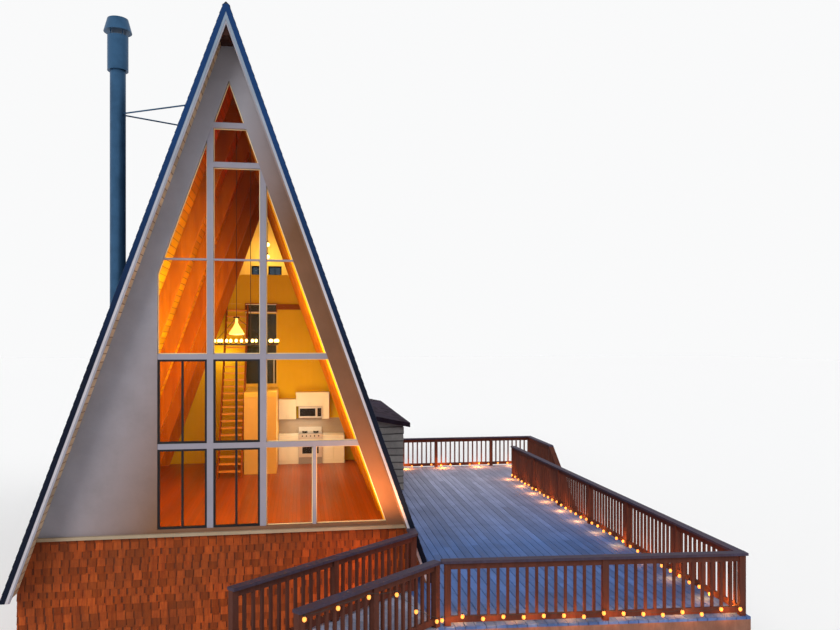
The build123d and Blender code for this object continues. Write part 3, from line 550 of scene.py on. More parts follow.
# what is left of an outline (x, z) below a distance along a normal
def clipShape(points, normal, distance):
    kept = []
    for first, second in zip(points, points[1:] + points[:1]):
        here = first[0] * normal[0] + first[1] * normal[1] - distance
        there = second[0] * normal[0] + second[1] * normal[1] - distance
        if here <= 0:
            kept.append(first)
        if (here < 0 < there) or (there < 0 < here):
            share = here / (here - there)
            kept.append((first[0] + (second[0] - first[0]) * share,
                         first[1] + (second[1] - first[1]) * share))
    return kept


def rectangle(x0, x1, z0, z1):
    return [(x0, z0), (x1, z0), (x1, z1), (x0, z1)]


# as many directions round the upright axis, the first at an angle
def circle(count, first=0.0):
    turns = [first + math.tau * step / count for step in range(count)]
    return [Vector((math.cos(turn), math.sin(turn), 0)) for turn in turns]


def axesPlace(origin, along, up=upward):
    along, up = Vector(along).normalized(), Vector(up).normalized()
    turn = Matrix((along, up, along.cross(up))).transposed().to_4x4()
    return Matrix.Translation(origin) @ turn


# cut a whole mesh, or the part of it given, along a plane
def splitMesh(work, point, direction, geometry=None, clear=False):
    geometry = geometry or [*work.verts, *work.edges, *work.faces]
    return bmesh.ops.bisect_plane(work, geom=geometry, dist=nearest, plane_co=Vector(point),
                                  plane_no=Vector(direction), clear_outer=clear)["geom_cut"]


def dropFaces(work, isInside):
    bmesh.ops.delete(work, geom=[face for face in work.faces if isInside(face)], context="FACES")


def closeHoles(work, mesh):
    bmesh.ops.holes_fill(work, edges=[line for line in work.edges if line.is_boundary], sides=0)
    closeWork(work, mesh)


# geometry node helpers
def pickRandom(tree, low, high, seed, **more):
    values = {2: low, 3: high, "Seed": seed, **more}
    return addNode(tree, "FunctionNodeRandomValue", values, data_type="FLOAT").outputs[1]


def combined(tree, **values):
    return addNode(tree, "ShaderNodeCombineXYZ", values).outputs[0]


def coated(tree, geometry, material):
    real = addNode(tree, "GeometryNodeRealizeInstances", {"Geometry": geometry}).outputs[0]
    return addNode(tree, "GeometryNodeSetMaterial", {"Geometry": real, "Material": material}).outputs[0]


# what a geometry node tree makes with these values, as a mesh of its own
def evaluatedMesh(name, tree, values, base=None):
    holder = linked(name + "Holder", base or bpy.data.meshes.new(name + "Base"))
    modifier = holder.modifiers.new("made", "NODES")
    modifier.node_group = tree
    names = {item.name: item.identifier for item in tree.interface.items_tree
             if item.item_type == "SOCKET" and item.in_out == "INPUT"}
    for key, value in values.items():
        modifier[names[key]] = value
    holder.update_tag()
    depsgraph = bpy.context.evaluated_depsgraph_get()
    mesh = bpy.data.meshes.new_from_object(holder.evaluated_get(depsgraph), preserve_all_data_layers=True,
                                           depsgraph=depsgraph)
    holder.modifiers.remove(modifier)
    bpy.data.objects.remove(holder)
    mesh.name = name
    return mesh


# laid pieces: boards, shingles and shakes in rows
def laidTree():
    tree, give, end = newGroup("laidRows", {
        "Geometry": "Geometry", "Columns": 10, "Rows": 10, "Pitch Along": 0.3, "Pitch Up": 0.14,
        "Piece Size": (0.3, 0.2, 0.01), "Tilt": 0.0, "Width Spread": 0.0, "Drop Spread": 0.0,
        "Row Shift": 0.5, "Seed": 3, "Finish": "Material"}, {"Geometry": "Geometry"}, "GeometryNodeTree")
    tree.is_modifier = True
    node, calc = partial(addNode, tree), partial(math2, tree)
    sizeAlong = calc("MULTIPLY", calc("SUBTRACT", give["Columns"], 1.0), give["Pitch Along"])
    sizeUp = calc("MULTIPLY", calc("SUBTRACT", give["Rows"], 1.0), give["Pitch Up"])
    grid = node("GeometryNodeMeshGrid", {"Size X": sizeAlong, "Size Y": sizeUp, "Vertices X": give["Columns"],
                                         "Vertices Y": give["Rows"]}).outputs["Mesh"]
    spot = node("GeometryNodeInputPosition").outputs[0]
    level = calc("ADD", node("ShaderNodeSeparateXYZ", {"Vector": spot}).outputs["Y"],
                 calc("MULTIPLY", sizeUp, 0.5))
    rowNumber = calc("ROUND", calc("DIVIDE", level, give["Pitch Up"]))
    whole = node("FunctionNodeFloatToInt", {0: rowNumber}).outputs[0]
    rowShift = pickRandom(tree, -1.0, 1.0, give["Seed"], ID=whole)
    slide = calc("MULTIPLY", calc("MULTIPLY", rowShift, give["Row Shift"]), give["Pitch Along"])
    dropPick = pickRandom(tree, -1.0, 1.0, calc("ADD", give["Seed"], 11.0))
    drop = calc("MULTIPLY", dropPick, give["Drop Spread"])
    shift = combined(tree, X=calc("ADD", slide, calc("MULTIPLY", sizeAlong, 0.5)),
                     Y=calc("ADD", drop, calc("MULTIPLY", sizeUp, 0.5)))
    widthPick = pickRandom(tree, calc("SUBTRACT", 1.0, give["Width Spread"]), 1.0, give["Seed"])
    laid = node("GeometryNodeInstanceOnPoints", {
        "Points": node("GeometryNodeSetPosition", {"Geometry": grid, "Offset": shift}).outputs[0],
        "Instance": node("GeometryNodeMeshCube", {"Size": give["Piece Size"]}).outputs["Mesh"],
        "Rotation": combined(tree, X=give["Tilt"]),
        "Scale": combined(tree, X=widthPick, Y=1.0, Z=1.0)}).outputs[0]
    tone = pickRandom(tree, 0.0, 1.0, calc("ADD", give["Seed"], 5.0))
    toned = node("GeometryNodeStoreNamedAttribute", {"Geometry": laid, "Name": "tone", "Value": tone},
                 data_type="FLOAT", domain="INSTANCE").outputs[0]
    plug(tree, end["Geometry"], coated(tree, toned, give["Finish"]))
    return tree


laidRows = laidTree()


# cuts are (point, direction) pairs: what lies on the side the direction points to goes away
def cutMesh(mesh, cuts):
    work = openWork(mesh)
    for point, direction in cuts:
        edges = [item for item in splitMesh(work, point, direction, clear=True)
                 if isinstance(item, bmesh.types.BMEdge) and item.is_boundary]
        if edges:
            bmesh.ops.holes_fill(work, edges=edges, sides=0)
    closeWork(work, mesh)


def laidField(name, look, seed, place, length, height, cuts=(), replaced=()):
    mesh = evaluatedMesh(name, laidRows, {
        "Columns": math.ceil(length / look["along"]) + 3, "Rows": math.ceil(height / look["up"]) + 1,
        "Pitch Along": look["along"], "Pitch Up": look["up"],
        "Piece Size": (look["along"] - look["gap"], look["cover"], look["thick"]),
        "Tilt": look.get("tilt", 0.0), "Width Spread": look.get("widthSpread", 0.0),
        "Drop Spread": look.get("dropSpread", 0.0), "Row Shift": look["rowShift"],
        "Seed": seed, "Finish": finish[look["finish"]]})
    shift = Matrix.Translation((-look["along"], look["cover"] / 2, look.get("lift", 0.0)))
    mesh.transform(place @ shift)
    along, up = place.col[0].to_3d(), place.col[1].to_3d()
    start = place.translation
    edges = [(start, -along), (start + along * length, along), (start, -up), (start + up * height, up)]
    cutMesh(mesh, edges + list(cuts))
    print("laid", name, len(mesh.polygons), "faces")
    return finished(name, mesh, replaced)


# roof shingles on both slopes, in courses up from the eave
shingleLook = {"along": 0.305, "up": 0.145, "gap": 0.012, "cover": 0.17, "thick": 0.007, "tilt": -0.045,
               "widthSpread": 0.02, "dropSpread": 0.003, "rowShift": 0.5, "lift": 0.001,
               "finish": "roofTab", "slot": "roof_shingle"}
ridgeMargin = 0.06
roofLength, slopeSpan = roofHigh.y - roofLow.y, slopeLength - ridgeMargin
laidField("roof_tabs_right", shingleLook, 4,
          axesPlace((roofHigh.x, roofLow.y, deckTop), (0, 1, 0), slopeRight), roofLength, slopeSpan)
laidField("roof_tabs_left", shingleLook, 9,
          axesPlace((-roofHigh.x, roofHigh.y, deckTop), (0, -1, 0), slopeLeft), roofLength, slopeSpan)
print("stage: roof shingles laid")

# wood shingles on the lower walls and the back gable
wallShingle = {"along": 0.135, "up": 0.125, "gap": 0.006, "cover": 0.15, "thick": 0.008, "tilt": -0.05,
               "widthSpread": 0.25, "dropSpread": 0.006, "rowShift": 0.9, "lift": 0.004,
               "finish": "redShingle", "slot": "red_shingle"}
wallTrim = {"sill": 0.002, "ridge": 0.01, "deck": 0.01, "belowDeck": 0.2, "pastWall": 0.15, "window": 0.05}
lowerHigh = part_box("front_lower_wall")[1]
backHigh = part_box("back_wall")[1]
skirtLow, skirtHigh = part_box("skirt_walls")
skirtHalf = lowerHigh.x
slopeCuts = [((side * skirtHalf, 0, deckTop), (side * cosA, 0, sinA)) for side in (1, -1)]
laidField("lower_wall_shingles", wallShingle, 12, axesPlace((-skirtHalf, wallFront, 0), (1, 0, 0)),
          skirtHalf * 2, lowerHigh.z - wallTrim["sill"], slopeCuts)


# the low and high corner of each pane in the back gable
def gableWindows():
    rows = {}
    work = openWork(nodes["back_glass"].data)
    bmesh.ops.remove_doubles(work, verts=work.verts, dist=nearest)
    left = set(work.verts)
    while left:
        group, queue = [], [left.pop()]
        while queue:
            vert = queue.pop()
            group.append(vert.co.copy())
            for line in vert.link_edges:
                other = line.other_vert(vert)
                if other in left:
                    left.remove(other)
                    queue.append(other)
        low = [min(point[i] for point in group) for i in range(3)]
        high = [max(point[i] for point in group) for i in range(3)]
        rows[tuple(low)] = (low, high)
    work.free()
    return [rows[key] for key in sorted(rows)]


backWindows = gableWindows()
print("back windows", len(backWindows))


def isWithin(face, x0, x1, z0, z1, margin=0.0):
    middle = face.calc_center_median()
    return x0 - margin < middle.x < x1 + margin and z0 - margin < middle.z < z1 + margin


# cut upright openings, each (x0, x1, z0, z1), out of laid pieces
def dropOpenings(made, openings, margin=0.3):
    work = openWork(made.data)
    for opening in openings:
        for value, direction in zip(opening, ((1, 0, 0), (1, 0, 0), upward, upward)):
            faces = [face for face in work.faces if isWithin(face, *opening, margin)]
            lines = {line for face in faces for line in face.edges}
            verts = {vert for face in faces for vert in face.verts}
            splitMesh(work, Vector(direction) * value, direction, [*verts, *lines, *faces])
        dropFaces(work, lambda face: isWithin(face, *opening))
    closeHoles(work, made.data)


backShingles = laidField("back_wall_shingles", wallShingle, 21,
                         axesPlace((skirtHalf, backHigh.y, 0), (-1, 0, 0)), skirtHalf * 2,
                         backHigh.z - wallTrim["ridge"], slopeCuts)
border = wallTrim["window"]
dropOpenings(backShingles, [(low[0] - border, high[0] + border, low[2] - border, high[2] + border)
                            for low, high in backWindows])
skirtLength = skirtHigh.y - skirtLow.y + 2 * wallTrim["pastWall"]
skirtRows = deckTop - wallTrim["deck"]
laidField("skirt_shingles_right", wallShingle, 31,
          axesPlace((skirtHalf, skirtLow.y - wallTrim["pastWall"], 0), (0, 1, 0)), skirtLength, skirtRows,
          [((0, 0, deckUnder - wallTrim["belowDeck"]), upward)])
laidField("skirt_shingles_left", wallShingle, 41,
          axesPlace((-skirtHalf, skirtHigh.y + wallTrim["pastWall"], 0), (0, -1, 0)), skirtLength, skirtRows)
print("stage: wall shingles laid")

# lean-to: grey shakes on its walls and shingles on its roof
shakeLook = {"along": 0.16, "up": 0.1875, "gap": 0.002, "cover": 0.215, "thick": 0.016, "tilt": -0.085,
             "dropSpread": 0.014, "rowShift": 0.9, "lift": 0.004, "finish": "shakeGrey", "slot": "shake_grey"}
lean = {"tan": 0.2, "edge": deckTop + 1.8, "layers": 0.11, "behind": 0.4, "high": 2.2, "backFoot": 0.9,
        "backHigh": 2.8}
leanLow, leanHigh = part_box("lean_to_end_walls")
leanRoofLow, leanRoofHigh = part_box("lean_to_roof")
roofCut = ((roofHigh.x, 0, deckTop), (-cosA, 0, -sinA))
leanUnder = ((leanRoofHigh.x, 0, lean["edge"] - lean["layers"]), (lean["tan"], 0, 1))
leanWidth = leanHigh.x - leanLow.x + lean["behind"]
laidField("lean_to_front_shakes", shakeLook, 51,
          axesPlace((leanLow.x - lean["behind"], leanLow.y, deckTop), (1, 0, 0)), leanWidth, lean["high"],
          [roofCut, leanUnder])
laidField("lean_to_back_shakes", shakeLook, 52,
          axesPlace((leanHigh.x, leanHigh.y, lean["backFoot"]), (-1, 0, 0)), leanWidth, lean["backHigh"],
          [roofCut, leanUnder, ((0, 0, deckTop), (0, 0, -1))])
laidField("lean_to_side_shakes", shakeLook, 53, axesPlace((leanHigh.x, leanLow.y, deckTop), (0, 1, 0)),
          leanHigh.y - leanLow.y, lean["high"], [leanUnder])
leanUp = Vector((-1, 0, lean["tan"])).normalized()
laidField("lean_to_tabs", {**shingleLook, "finish": "leanTab"}, 54,
          axesPlace((leanRoofHigh.x, leanRoofLow.y, lean["edge"]), (0, 1, 0), leanUp),
          leanRoofHigh.y - leanRoofLow.y, (leanRoofHigh.x - leanRoofLow.x) / -leanUp.x, [roofCut])
frieze = {"low": 3.03, "high": lean["edge"] - 0.115, "thick": 0.026, "start": 2.95, "past": 0.02,
          "edge": 0.003}


def friezeBoard(work):
    addBox(work, (frieze["start"], leanLow.y - frieze["thick"], frieze["low"]),
           (leanHigh.x + frieze["past"], leanLow.y - lap, frieze["high"]), edge=frieze["edge"])


dressed("lean_to_frieze", "shake_grey", friezeBoard, "shakeGrey")
print("stage: lean-to dressed")

# deck boards, laid in depth, with butt joints
boardLook = {"along": 3.2, "up": 0.146, "gap": 0.004, "cover": 0.136, "thick": 0.038, "rowShift": 0.9,
             "finish": "deckBoard", "slot": "deck_board"}
outline = {"rightFront": (7.596, -2.805), "rightBack": (7.330, 10.755), "leftFront": (3.056, -2.523),
           "leftBack": (2.860, -0.855)}
boardMiddle = deckTop - boardLook["thick"] / 2


# the cut along one side of the deck, from start to end with the deck on the left
def sideCut(start, end):
    run = Vector((end[0] - start[0], end[1] - start[1], 0)).normalized()
    return (Vector((*start, 0)), Vector((run.y, -run.x, 0)))


deckRight = sideCut(outline["rightFront"], outline["rightBack"])
deckFront = sideCut(outline["leftFront"], outline["rightFront"])
deckLeft = sideCut(outline["leftBack"], outline["leftFront"])
mainBoards = laidField("deck_boards", boardLook, 61,
                       axesPlace((deckLow.x, deckHigh.y, boardMiddle), (0, -1, 0), (1, 0, 0)),
                       deckHigh.y - deckLow.y, deckHigh.x - deckLow.x, [deckRight, deckFront, deckLeft],
                       ["deck_floor"])


def dropCorner(made, corner, side):
    work = openWork(made.data)
    splitMesh(work, (corner[0], 0, 0), (1, 0, 0))
    splitMesh(work, (0, corner[1], 0), (0, 1, 0))
    dropFaces(work, lambda face: (face.calc_center_median().x - corner[0]) * side > 0
              and face.calc_center_median().y > corner[1])
    closeHoles(work, made.data)


dropCorner(mainBoards, (skirtHalf + lap, wallFront), -1)
dropCorner(mainBoards, (leanHigh.x, outline["rightBack"][1]), 1)
landLow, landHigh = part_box("landing_floor")
laidField("landing_boards", boardLook, 62,
          axesPlace((landLow.x, landHigh.y, boardMiddle), (0, -1, 0), (1, 0, 0)),
          landHigh.y - landLow.y, landHigh.x - landLow.x, [(deckRight[0], -deckRight[1])], ["landing_floor"])
walk = {"turn": math.radians(221), "long": 3.6}
walkRun = Vector((math.cos(walk["turn"]), math.sin(walk["turn"]), 0))
walkAcross = Vector((-walkRun.y, walkRun.x, 0))
walkInner, walkOuter = [Vector((*outline[corner], 0)) for corner in ("leftBack", "leftFront")]
laidField("walkway_boards", {**boardLook, "along": 1.6, "gap": 0.0, "cover": 0.140, "rowShift": 0.0,
                             "finish": "walkBoard"}, 63,
          axesPlace(walkInner + Vector((0, 0, boardMiddle)), walkAcross, walkRun),
          (walkOuter - walkInner).dot(walkAcross), walk["long"], [(deckLeft[0], -deckLeft[1])],
          ["walkway_floor"])
print("stage: decks boarded")

# pale beads round the panes
# the uprights' spans in x, and the foot and height of the rails at each level
glassLow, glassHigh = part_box("front_glass_upper")
glazing = {"base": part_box("front_glass_lower")[0].z, "mullions": ((-0.352, -0.250), (0.500, 0.602)),
           "slim": (1.366, 1.426), "top": (8.9896, 0.09), "upper": (8.3396, 0.09), "middle": (5.182, 0.09),
           "lower": (3.718, 0.09), "bead": 0.013, "proud": 0.015, "thick": 0.0145}


# cells are (x0, x1, z0, z1); wide and above lie past the gable, and its slopes clip them
def glazingBeads(work):
    base, wide, above = glazing["base"], 3.0, glassHigh.z + 1
    (left0, left1), (right0, right1), (slim0, slim1) = *glazing["mullions"], glazing["slim"]
    top, upper, middle, lower = [(z, z + high) for z, high in
                                 (glazing[key] for key in ("top", "upper", "middle", "lower"))]
    cells = [(-wide, wide, top[1], above), (left1, wide, upper[1], top[0]), (-wide, left0, middle[1], above),
             (left1, right0, middle[1], upper[0]), (right1, wide, middle[1], above),
             (right1, wide, lower[1], middle[0]), (right1, slim0, base, lower[0]),
             (slim1, wide, base, lower[0])]
    front = glassLow.y - glazing["proud"]
    for cell in cells:
        shape = clipShape(rectangle(*cell), (1.0, slopeTan), slopeTan * glassHigh.z)
        shape = clipShape(shape, (-1.0, slopeTan), slopeTan * glassHigh.z)
        shape = clipShape(shape, (-1.0, 0.0), -glassLow.x)
        ringSolid(work, shape, glazing["bead"], front, front + glazing["thick"])


dressed("glazing_beads", "facade_paint", glazingBeads, "beadPaint")

# casings, sashes and bars of the back windows
casing = {"border": 0.07, "thick": 0.018, "sash": 0.045, "bar": 0.022, "sashSpan": (0.008, 0.045),
          "barSpan": (0.009, 0.03), "tall": 0.8}


def backCasings(work):
    border, half = casing["border"], casing["bar"] / 2
    for low, high in backWindows:
        outer = rectangle(low[0] - border, high[0] + border, low[2] - border, high[2] + border)
        ringSolid(work, outer, border, backHigh.y - lap, backHigh.y + casing["thick"], 0)
        ringSolid(work, rectangle(low[0], high[0], low[2], high[2]), casing["sash"],
                  *[low[1] + depth for depth in casing["sashSpan"]], 1)
        middle, level = (low[0] + high[0]) / 2, (low[2] + high[2]) / 2
        bar0, bar1 = [low[1] + depth for depth in casing["barSpan"]]
        addBox(work, (middle - half, bar0, low[2]), (middle + half, bar1, high[2]), slotIndex=1)
        if high[2] - low[2] > casing["tall"]:
            addBox(work, (low[0], bar0, level - half), (high[0], bar1, level + half), slotIndex=1)


dressed("back_casings", "facade_paint", backCasings, "facadePaint", "sashBlack")
print("stage: beads and casings made")

# rake trim: a dark metal edge over the shingles and the top of the barge boards
# each band holds where it starts and stops below the shingles' top, and how far it stands out
rakeBands = ((0.0, 0.078, 0.010), (0.078, 0.118, 0.006))


def rakeTrim(work):
    foot = slopeTan * (roofApex - deckTop)
    for end, direction in ((roofLow.y, -1), (roofHigh.y, 1)):
        for side in (-1, 1):
            for band, (start, stop, thick) in enumerate(rakeBands):
                outer = [(0, roofApex - start / sinA), (side * (foot - start / cosA), deckTop),
                         (side * (foot - stop / cosA), deckTop), (0, roofApex - stop / sinA)]
                outer = clipShape(outer, (0.0, 1.0), roofHigh.z)
                sheetSolid(work, outer, end, end + direction * thick, band)


dressed("rake_trim", "roof_shingle", rakeTrim, "rakeMetal", "edgePaint")

# the inner window: its upper light in front of the loft beam, a bar, and its sill bar
windowLow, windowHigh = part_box("inner_window")
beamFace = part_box("loft_beam")[0].y
headLight = {"low": 6.40, "high": 6.70, "frame": 0.035, "thick": 0.03, "lap": 0.002, "pane": (0.012, 0.002)}
barLook = {"width": 0.022, "proud": 0.012, "inset": 0.03, "rows": (6.405, 6.66), "sill": (3.96, 4.07),
           "sillProud": 0.015, "upright": 0.31, "uprightTop": 4.95}


def windowHead(work):
    outer = rectangle(windowLow.x, windowHigh.x, headLight["low"], headLight["high"])
    ringSolid(work, outer, headLight["frame"], beamFace - headLight["thick"], beamFace - lap, 0)
    inset = headLight["frame"] - headLight["lap"]
    addBox(work, (windowLow.x + inset, beamFace - headLight["pane"][0], headLight["low"] + inset),
           (windowHigh.x - inset, beamFace - headLight["pane"][1], headLight["high"] - inset), slotIndex=1)


def windowBars(work):
    left, right = windowLow.x + barLook["inset"], windowHigh.x - barLook["inset"]
    front, half = beamFace - headLight["thick"], barLook["width"] / 2
    for z in barLook["rows"]:
        addBox(work, (left, front - barLook["proud"], z - half), (right, front + 2 * lap, z + half))
    back = windowLow.y + barLook["inset"]
    addBox(work, (left, windowLow.y - barLook["sillProud"], barLook["sill"][0]),
           (right, back, barLook["sill"][1]), slotIndex=1)
    addBox(work, (barLook["upright"] - half, windowLow.y - barLook["proud"], windowLow.z + barLook["inset"]),
           (barLook["upright"] + half, back, barLook["uprightTop"]))


dressed("inner_window_head", "sash_black", windowHead, "brownBeam", "duskPane")
dressed("inner_window_bars", "wall_gold", windowBars, "worktop", "windowGold")

# the loft's guard closes over the stair with a board gate
gateLook = {"low": 6.69, "high": 7.62, "thick": 0.03, "board": 0.145, "gap": 0.004, "least": 0.1,
            "clear": 0.02, "edge": 0.002}
bandLook = {"high": 0.11, "proud": 0.02, "edge": 0.002}


def loftGate(work):
    wall = nodes["inner_wall"].data
    top = max(vertex.co.z for vertex in wall.vertices)
    tops = sorted({round(vertex.co.x, 3) for vertex in wall.vertices if vertex.co.z > top - lap})
    gateRight, wallRight = tops[0], tops[-1]
    x = gateRight - gateLook["board"]
    while x > -wallRight - (top - gateLook["low"]) * slopeTan:
        high = min(gateLook["high"], top - (-x - wallRight) / slopeTan - gateLook["clear"])
        if high > gateLook["low"] + gateLook["least"]:
            addBox(work, (x + gateLook["gap"], innerFace, gateLook["low"]),
                   (x + gateLook["board"], innerFace + gateLook["thick"], high), edge=gateLook["edge"])
        x -= gateLook["board"]


def partitionBand(work):
    lidLow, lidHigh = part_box("partition_lid")
    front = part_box("partition_wall")[0].y
    addBox(work, (lidLow.x, front - bandLook["proud"], lidLow.z - bandLook["high"]),
           (lidHigh.x, front + lap, lidLow.z), edge=bandLook["edge"])


dressed("loft_gate", "wall_gold", loftGate, "goldWall")
dressed("partition_band", "cream_paint", partitionBand, "lidPaint")

# kitchen fronts: spans are (x0, x1, z0, z1), rows (z0, z1)
kitchen = {"cabinetFront": 12.175, "baseFront": 11.945, "rangeFront": 11.885, "microwaveFront": 12.125,
           "low": (0.470, 1.0305, 2.92, 3.57), "high": (1.0305, 2.1005, 3.34, 3.79), "rightEdge": 1.8705,
           "rightLow": 2.92, "crown": 0.10, "crownProud": 0.025, "crownPast": 0.01,
           "bases": ((0.470, 1.1105), (1.8705, 2.586)), "doors": (1.60, 2.20), "drawers": (2.21, 2.37),
           "grip": 2.08, "gripInset": 0.03, "gripRise": 0.05,
           "microwave": (1.1105, 1.8705, 2.96, 3.34), "range": (1.1105, 1.8705, 1.5, 2.48)}
doorLook = {"gap": 0.004, "stile": 0.045, "proud": 0.012, "stileProud": 0.018, "handle": 0.1}
doorPull = {"out": 0.038, "into": 0.012, "inset": 0.01, "bar": 0.006, "stub": 0.004, "sides": 8}
microwavePull = {"out": 0.05, "into": 0.018, "inset": 0.02, "bar": 0.011, "stub": 0.006, "sides": 10}
rangePull = {"out": 0.05, "into": 0.018, "inset": 0.04, "bar": 0.012, "stub": 0.007, "sides": 10}


# a bar on two stubs, between two places on the front
def pull(work, start, end, front, look):
    start, end = [Vector((x, front - look["out"], z)) for x, z in (start, end)]
    step = (end - start).normalized() * look["inset"]
    addRod(work, start, end, look["bar"], look["sides"], 1)
    inward = Vector((0, look["out"] - look["into"], 0))
    for spot in (start + step, end - step):
        addRod(work, spot, spot + inward, look["stub"], look["sides"] - 2, 1)


def door(work, x0, x1, z0, z1, front, grip=None):
    gap, proud = doorLook["gap"], doorLook["proud"]
    addBox(work, (x0 + gap, front - proud, z0 + gap), (x1 - gap, front + lap, z1 - gap))
    ringSolid(work, rectangle(x0 + gap, x1 - gap, z0 + gap, z1 - gap), doorLook["stile"],
              front - doorLook["stileProud"], front - proud + lap)
    if grip:
        pull(work, grip, (grip[0], grip[1] + doorLook["handle"]), front, doorPull)


# two doors with their handles beside the middle
def doorPair(work, x0, x1, z0, z1, front, grip):
    middle, inset = (x0 + x1) / 2, kitchen["gripInset"]
    door(work, x0, middle, z0, z1, front, (middle - inset, grip))
    door(work, middle, x1, z0, z1, front, (middle + inset, grip))


def kitchenFronts(work):
    front, rise = kitchen["cabinetFront"], kitchen["gripRise"]
    x0, x1, z0, z1 = kitchen["low"]
    doorPair(work, x0, x1, z0, z1, front, z0 + rise)
    x0, x1, z0, z1 = kitchen["high"]
    crown, edge, low = z1 - kitchen["crown"], kitchen["rightEdge"], kitchen["rightLow"]
    doorPair(work, x0, edge, z0, crown, front, z0 + rise)
    door(work, edge, x1, low, crown, front, (edge + kitchen["gripInset"], low + rise))
    addBox(work, (x0 - kitchen["crownPast"], front - kitchen["crownProud"], crown),
           (x1, front + lap, z1 + 2 * lap))
    front = kitchen["baseFront"]
    for x0, x1 in kitchen["bases"]:
        doorPair(work, x0, x1, *kitchen["doors"], front, kitchen["grip"])
        middle = (x0 + x1) / 2
        door(work, x0, middle, *kitchen["drawers"], front)
        door(work, middle, x1, *kitchen["drawers"], front)


dressed("kitchen_fronts", "cabinet_white", kitchenFronts, "cabinetWhite", "handle")

# plates on an appliance: insets from its left, right, foot and top, how far out, into, and the finish
microwavePlates = ((0.005, 0.005, 0.005, 0.005, 0.020, -lap, 1), (0.04, 0.22, 0.06, 0.07, 0.026, 0.019, 0),
                   (0.61, 0.03, 0.05, 0.06, 0.026, 0.019, 0))
rangePlates = ((0.01, 0.01, 0.22, 0.15, 0.022, -lap, 1), (0.12, 0.12, 0.34, 0.28, 0.026, 0.021, 0),
               (0.01, 0.01, 0.84, 0.01, 0.020, -lap, 1))
grips = {"microwaveRight": 0.185, "microwaveLow": 0.05, "microwaveHigh": 0.06, "rangeSide": 0.06,
         "rangeHigh": 0.19}
knobs = {"count": 5, "inset": 0.12, "below": 0.075, "out": 0.045, "into": 0.018, "radius": 0.022}
upstand = {"inset": 0.01, "high": 0.15, "front": 0.06, "back": 0.002}
hob = {"inset": 0.2, "rows": (0.17, 0.42), "radius": 0.06, "thick": 0.012, "arm": 0.12, "armLevel": 0.022,
       "armRadius": 0.007}


def plates(work, span, front, rows):
    x0, x1, z0, z1 = span
    for left, right, foot, top, out, into, slotIndex in rows:
        addBox(work, (x0 + left, front - out, z0 + foot), (x1 - right, front - into, z1 - top), slotIndex)


def applianceFronts(work):
    plates(work, kitchen["microwave"], kitchen["microwaveFront"], microwavePlates)
    x1, z0, z1 = kitchen["microwave"][1:]
    x = x1 - grips["microwaveRight"]
    pull(work, (x, z0 + grips["microwaveLow"]), (x, z1 - grips["microwaveHigh"]), kitchen["microwaveFront"],
         microwavePull)
    x0, x1, z0, z1 = kitchen["range"]
    front, z = kitchen["rangeFront"], z1 - grips["rangeHigh"]
    plates(work, kitchen["range"], front, rangePlates)
    pull(work, (x0 + grips["rangeSide"], z), (x1 - grips["rangeSide"], z), front, rangePull)
    z = z1 - knobs["below"]
    for step in range(knobs["count"]):
        x = x0 + knobs["inset"] + step * (x1 - x0 - 2 * knobs["inset"]) / (knobs["count"] - 1)
        addRod(work, (x, front - knobs["out"], z), (x, front - knobs["into"], z), knobs["radius"], 12)
    addBox(work, (x0 + upstand["inset"], innerFace - upstand["front"], z1),
           (x1 - upstand["inset"], innerFace - upstand["back"], z1 + upstand["high"]), slotIndex=1)
    for x in (x0 + hob["inset"], x1 - hob["inset"]):
        for y in (front + hob["rows"][0], front + hob["rows"][1]):
            addRod(work, (x, y, z1), (x, y, z1 + hob["thick"]), hob["radius"], 16)
            middle = Vector((x, y, z1 + hob["armLevel"]))
            for out in circle(4, math.pi / 4):
                addRod(work, middle, middle + out * hob["arm"], hob["armRadius"], 6)


dressed("appliance_fronts", "appliance", applianceFronts, "enamelBlack", "handle")
splash = {"low": 2.42, "high": 2.92, "footRight": 2.62, "topRight": 2.44, "front": 0.006, "back": 0.0005}


def backsplash(work):
    left, low, high = kitchen["low"][0], splash["low"], splash["high"]
    shape = [(left, low), (splash["footRight"], low), (splash["topRight"], high), (left, high)]
    sheetSolid(work, shape, innerFace - splash["front"], innerFace - splash["back"])


dressed("backsplash", "cabinet_white", backsplash, "splashTile")
print("stage: kitchen dressed")


